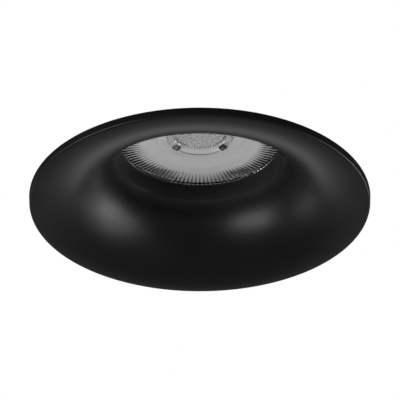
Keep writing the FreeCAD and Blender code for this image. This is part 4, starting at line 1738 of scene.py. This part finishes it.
    def pin(self) -> bpy.types.Object:
        """The pivot pin, peened over at both ends.

        Returns:
            The finished piece.
        """
        low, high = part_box("clip_pin_right")
        reach, radius, proud = high.y, (high.x - low.x) / 2, self.pin_proud
        flare = radius + self.pin_flare
        corners = [
            (0.0, -reach, 0.0), (flare, -reach, 0.4 * MM), (flare, proud - reach, 0.1 * MM),
            (radius, proud - reach, 0.0), (radius, reach - proud, 0.0),
            (flare, reach - proud, 0.1 * MM), (flare, reach, 0.4 * MM), (0.0, reach, 0.0),
        ]
        pin = turned("pin", eased(corners), 48)
        pin.rotation_euler.x = math.radians(90)
        settled(pin, "pin")
        return self.seated(pin, "clip_pin_peened_right", 0.0)

    def spring(self) -> bpy.types.Object:
        """The torsion spring of round wire: one leg leans on the collar, one presses the arm.

        Returns:
            The finished piece.
        """
        first = math.radians(self.coil_start_deg)
        last = first + math.radians(self.coil_turn_deg)
        clear_bench()
        bpy.ops.mesh.primitive_circle_add(
            vertices=self.wire_sides, radius=self.wire, location=(self.coil, 0, self.coil_half),
            rotation=(math.radians(90), 0, 0),
        )
        spring = bpy.context.active_object
        bpy.ops.object.transform_apply(location=True, rotation=True, scale=True)
        spring.rotation_euler.z = first
        bpy.ops.object.transform_apply(location=True, rotation=True, scale=True)
        bpy.ops.object.modifier_add(type="SCREW")
        screw = spring.modifiers[-1]
        screw.angle = last - first
        screw.screw_offset = -2 * self.coil_half
        screw.steps = screw.render_steps = self.coil_steps
        screw.use_merge_vertices = False
        bpy.ops.object.modifier_apply(modifier=screw.name)
        back = -Vector((-math.sin(first), math.cos(first), 0))
        start_x = self.pivot.x + self.coil * math.cos(first)
        back_length = (start_x - self.collar - self.wire - self.leg_gap) / abs(back.x)
        ahead = Vector((-math.sin(last), math.cos(last), 0))
        for turn, height, run in ((first, self.coil_half, back * back_length),
                                  (last, -self.coil_half, ahead * self.leg)):
            centre = Vector((self.coil * math.cos(turn), self.coil * math.sin(turn), height))
            along = run.normalized()
            pick(
                spring,
                lambda place: (place - centre).length < 1.02 * self.wire
                and abs((place - centre).dot(along)) < 0.02 * MM,
            )
            with editing(spring):
                bpy.ops.mesh.extrude_region_move(TRANSFORM_OT_translate={"value": run})
                bpy.ops.mesh.edge_face_add()
        spring.rotation_euler.x = math.radians(90)
        settled(spring, "spring")
        with_rounded_edges(spring, self.edge_round, 2, 60.0)
        return self.seated(spring, "clip_spring_wound_right", 0.0)

    def build(self) -> None:
        """Model the clip, copy it to the left, and set both on their bodies; the springs stay on none."""
        rows = (
            (self.arm(), "pressed_steel", "clip_arm"), (self.sleeve(), "sleeve_rubber", "clip_sleeve"),
            (self.pin(), "screw_zinc", "clip_pin"), (self.spring(), "spring_steel", "clip_spring"),
        )
        for piece, slot, node in rows:
            left = copied(piece, piece.name.replace("right", "left"), 180)
            for made, side, sign in ((smoothed(left), "left", -1), (piece, "right", 1)):
                if node == "clip_spring":
                    self.blended(made, side, slot)
                else:
                    body = side + "_clip" if node != "clip_pin" else "fixture"
                    self.shop.finish_piece(made, body, slot, [node + "_" + side])

    def blended(self, spring: bpy.types.Object, side: str, slot: str) -> None:
        """Paint a spring, put its place in its mesh and hide its node, leaving it on no body.

        Args:
            spring: The spring.
            side: Its side, right or left.
            slot: Its material slot.
        """
        self.shop.paint(spring, slot)
        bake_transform(spring)
        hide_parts("clip_spring_" + side)
        LOG.info("piece %s, blended, %d faces", spring.name, len(spring.data.polygons))


# ---- Stage ----


@dataclass(frozen=True)
class Softbox:
    """A soft area light, aimed at the bell mouth."""

    name: str
    azimuth_deg: float
    elevation_deg: float
    distance: float
    size: tuple[float, float]
    watts: float


@dataclass
class Stage:
    """Soffit board, floor, lights, world and camera. None of it is part of the object."""

    hole_radius: float = CUTOUT_RADIUS
    board_half: float = 0.9
    floor_height: float = -1.2
    surround: float = 0.135
    camera_place: tuple[float, float, float] = (0.0, -0.38335, -0.23383)
    camera_elevation_deg: float = 31.58
    camera_lens_mm: float = 136.96
    camera_shift: float = 0.0005
    camera_range: tuple[float, float] = (0.01, 10.0)
    sensor_width_mm: float = 36.0
    board_grey: float = 0.2
    lights: tuple[Softbox, ...] = (
        Softbox("softbox_left_low", 108, -33, 0.62, (0.46, 0.28), 0.8),
        Softbox("softbox_left_high", 120, -18, 0.62, (0.3, 0.16), 0.42),
        Softbox("softbox_right", -68, -25, 0.62, (0.5, 0.26), 1.25),
        Softbox("strip_behind", -180, -5, 0.62, (0.3, 0.16), 0.17),
        Softbox("strip_side", -140, -20, 0.62, (0.24, 0.19), 0.1),
        Softbox("strip_other_side", 140, -20, 0.62, (0.24, 0.19), 0.1),
        Softbox("key_above", 35, 50, 0.8, (0.5, 0.5), 3.2),
        Softbox("fill_above", -130, 40, 0.8, (0.5, 0.5), 1.8),
    )

    def surface(self, name: str) -> bpy.types.Material:
        """White to the camera and dim to the object, and clear from the face's own back.

        Args:
            name: Name of the material.

        Returns:
            The material.
        """
        material = bpy.data.materials.new(name)
        material.use_nodes = True
        material.node_tree.nodes.clear()
        bench = NodeBench(material.node_tree)
        straight = bench.seen_straight()
        white = bench.add("ShaderNodeEmission", {"Color": rgba((1, 1, 1)), "Strength": 1.0})
        plain = bench.add("ShaderNodeBsdfDiffuse", {"Color": rgba((self.board_grey,) * 3)})
        sides = {0: straight, 1: plain.outputs[0], 2: white.outputs[0]}
        board = bench.add("ShaderNodeMixShader", sides)
        clear = bench.add("ShaderNodeBsdfTransparent")
        back = bench.add("ShaderNodeNewGeometry").outputs["Backfacing"]
        shader = bench.add("ShaderNodeMixShader", {0: back, 1: board.outputs[0], 2: clear.outputs[0]})
        bench.add("ShaderNodeOutputMaterial", {"Surface": shader.outputs[0]})
        return material

    def board(self) -> None:
        """The soffit board, white from below and clear from above."""
        clear_bench()
        bpy.ops.mesh.primitive_circle_add(vertices=96, radius=self.hole_radius)
        board = bpy.context.active_object
        with editing(board):
            bpy.ops.mesh.select_all(action="SELECT")
            bpy.ops.mesh.extrude_region_move(TRANSFORM_OT_translate={"value": (0, 0, 0)})
            share = self.board_half / self.hole_radius
            bpy.ops.transform.resize(value=(share, share, 1), center_override=(0, 0, 0))
        board.name = "soffit_board"
        if board.data.polygons[0].normal.z > 0:
            board.data.flip_normals()
        board.data.materials.append(self.surface("board_white_stage"))

    def floor(self) -> None:
        """The pale floor, far below, clear from underneath."""
        clear_bench()
        bpy.ops.mesh.primitive_plane_add(size=4 * self.board_half, location=(0, 0, self.floor_height))
        floor = bpy.context.active_object
        floor.name = "pale_floor"
        floor.data.materials.append(self.surface("floor_white_stage"))

    def world(self) -> None:
        """White behind the object, dim as a light."""
        world = bpy.data.worlds.new("studio")
        bpy.context.scene.world = world
        world.use_nodes = True
        world.node_tree.nodes.clear()
        bench = NodeBench(world.node_tree)
        straight = bench.seen_straight()
        white = bench.add("ShaderNodeBackground", {"Color": rgba((1, 1, 1)), "Strength": 1.0})
        dim = bench.add("ShaderNodeBackground", {"Color": rgba((1, 1, 1)), "Strength": self.surround})
        shader = bench.add("ShaderNodeMixShader", {0: straight, 1: dim.outputs[0], 2: white.outputs[0]})
        bench.add("ShaderNodeOutputWorld", {"Surface": shader.outputs[0]})

    def lamps(self) -> None:
        """The soft lights below and above the board."""
        for box in self.lights:
            clear_bench()
            azimuth, elevation = math.radians(box.azimuth_deg), math.radians(box.elevation_deg)
            level = math.cos(elevation)
            across, ahead = math.sin(azimuth) * level, -math.cos(azimuth) * level
            away = Vector((across, ahead, math.sin(elevation)))
            bpy.ops.object.light_add(type="AREA", location=away * box.distance)
            light = bpy.context.active_object
            light.name = box.name
            light.rotation_euler = away.to_track_quat("Z", "Y").to_euler()
            light.data.shape = "RECTANGLE"
            light.data.size, light.data.size_y = box.size
            light.data.energy = box.watts
            light.visible_camera = False

    def camera(self) -> None:
        """The camera at the photograph's angle."""
        clear_bench()
        turn = (math.radians(90 + self.camera_elevation_deg), 0, 0)
        bpy.ops.object.camera_add(location=self.camera_place, rotation=turn)
        camera = bpy.context.active_object
        camera.name = "view_from_below"
        camera.data.sensor_width = self.sensor_width_mm
        camera.data.lens = self.camera_lens_mm
        camera.data.shift_x = self.camera_shift
        camera.data.clip_start, camera.data.clip_end = self.camera_range
        bpy.context.scene.camera = camera

    def build(self) -> None:
        """Set the stage."""
        self.board()
        self.floor()
        self.world()
        self.lamps()
        self.camera()
        bpy.context.scene.view_settings.view_transform = "Standard"


def main() -> None:
    """Build every piece in order."""
    logging.basicConfig(level=logging.INFO, format="%(message)s")
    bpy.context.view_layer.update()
    shop = PaintShop()
    shop.paint_frame()
    Stage().build()
    Bezel(shop).build()
    Seating(shop).build()
    Lamp(shop).build()
    Lampholder(shop).build()
    SpringClip(shop).build()


if __name__ == "__main__":
    main()
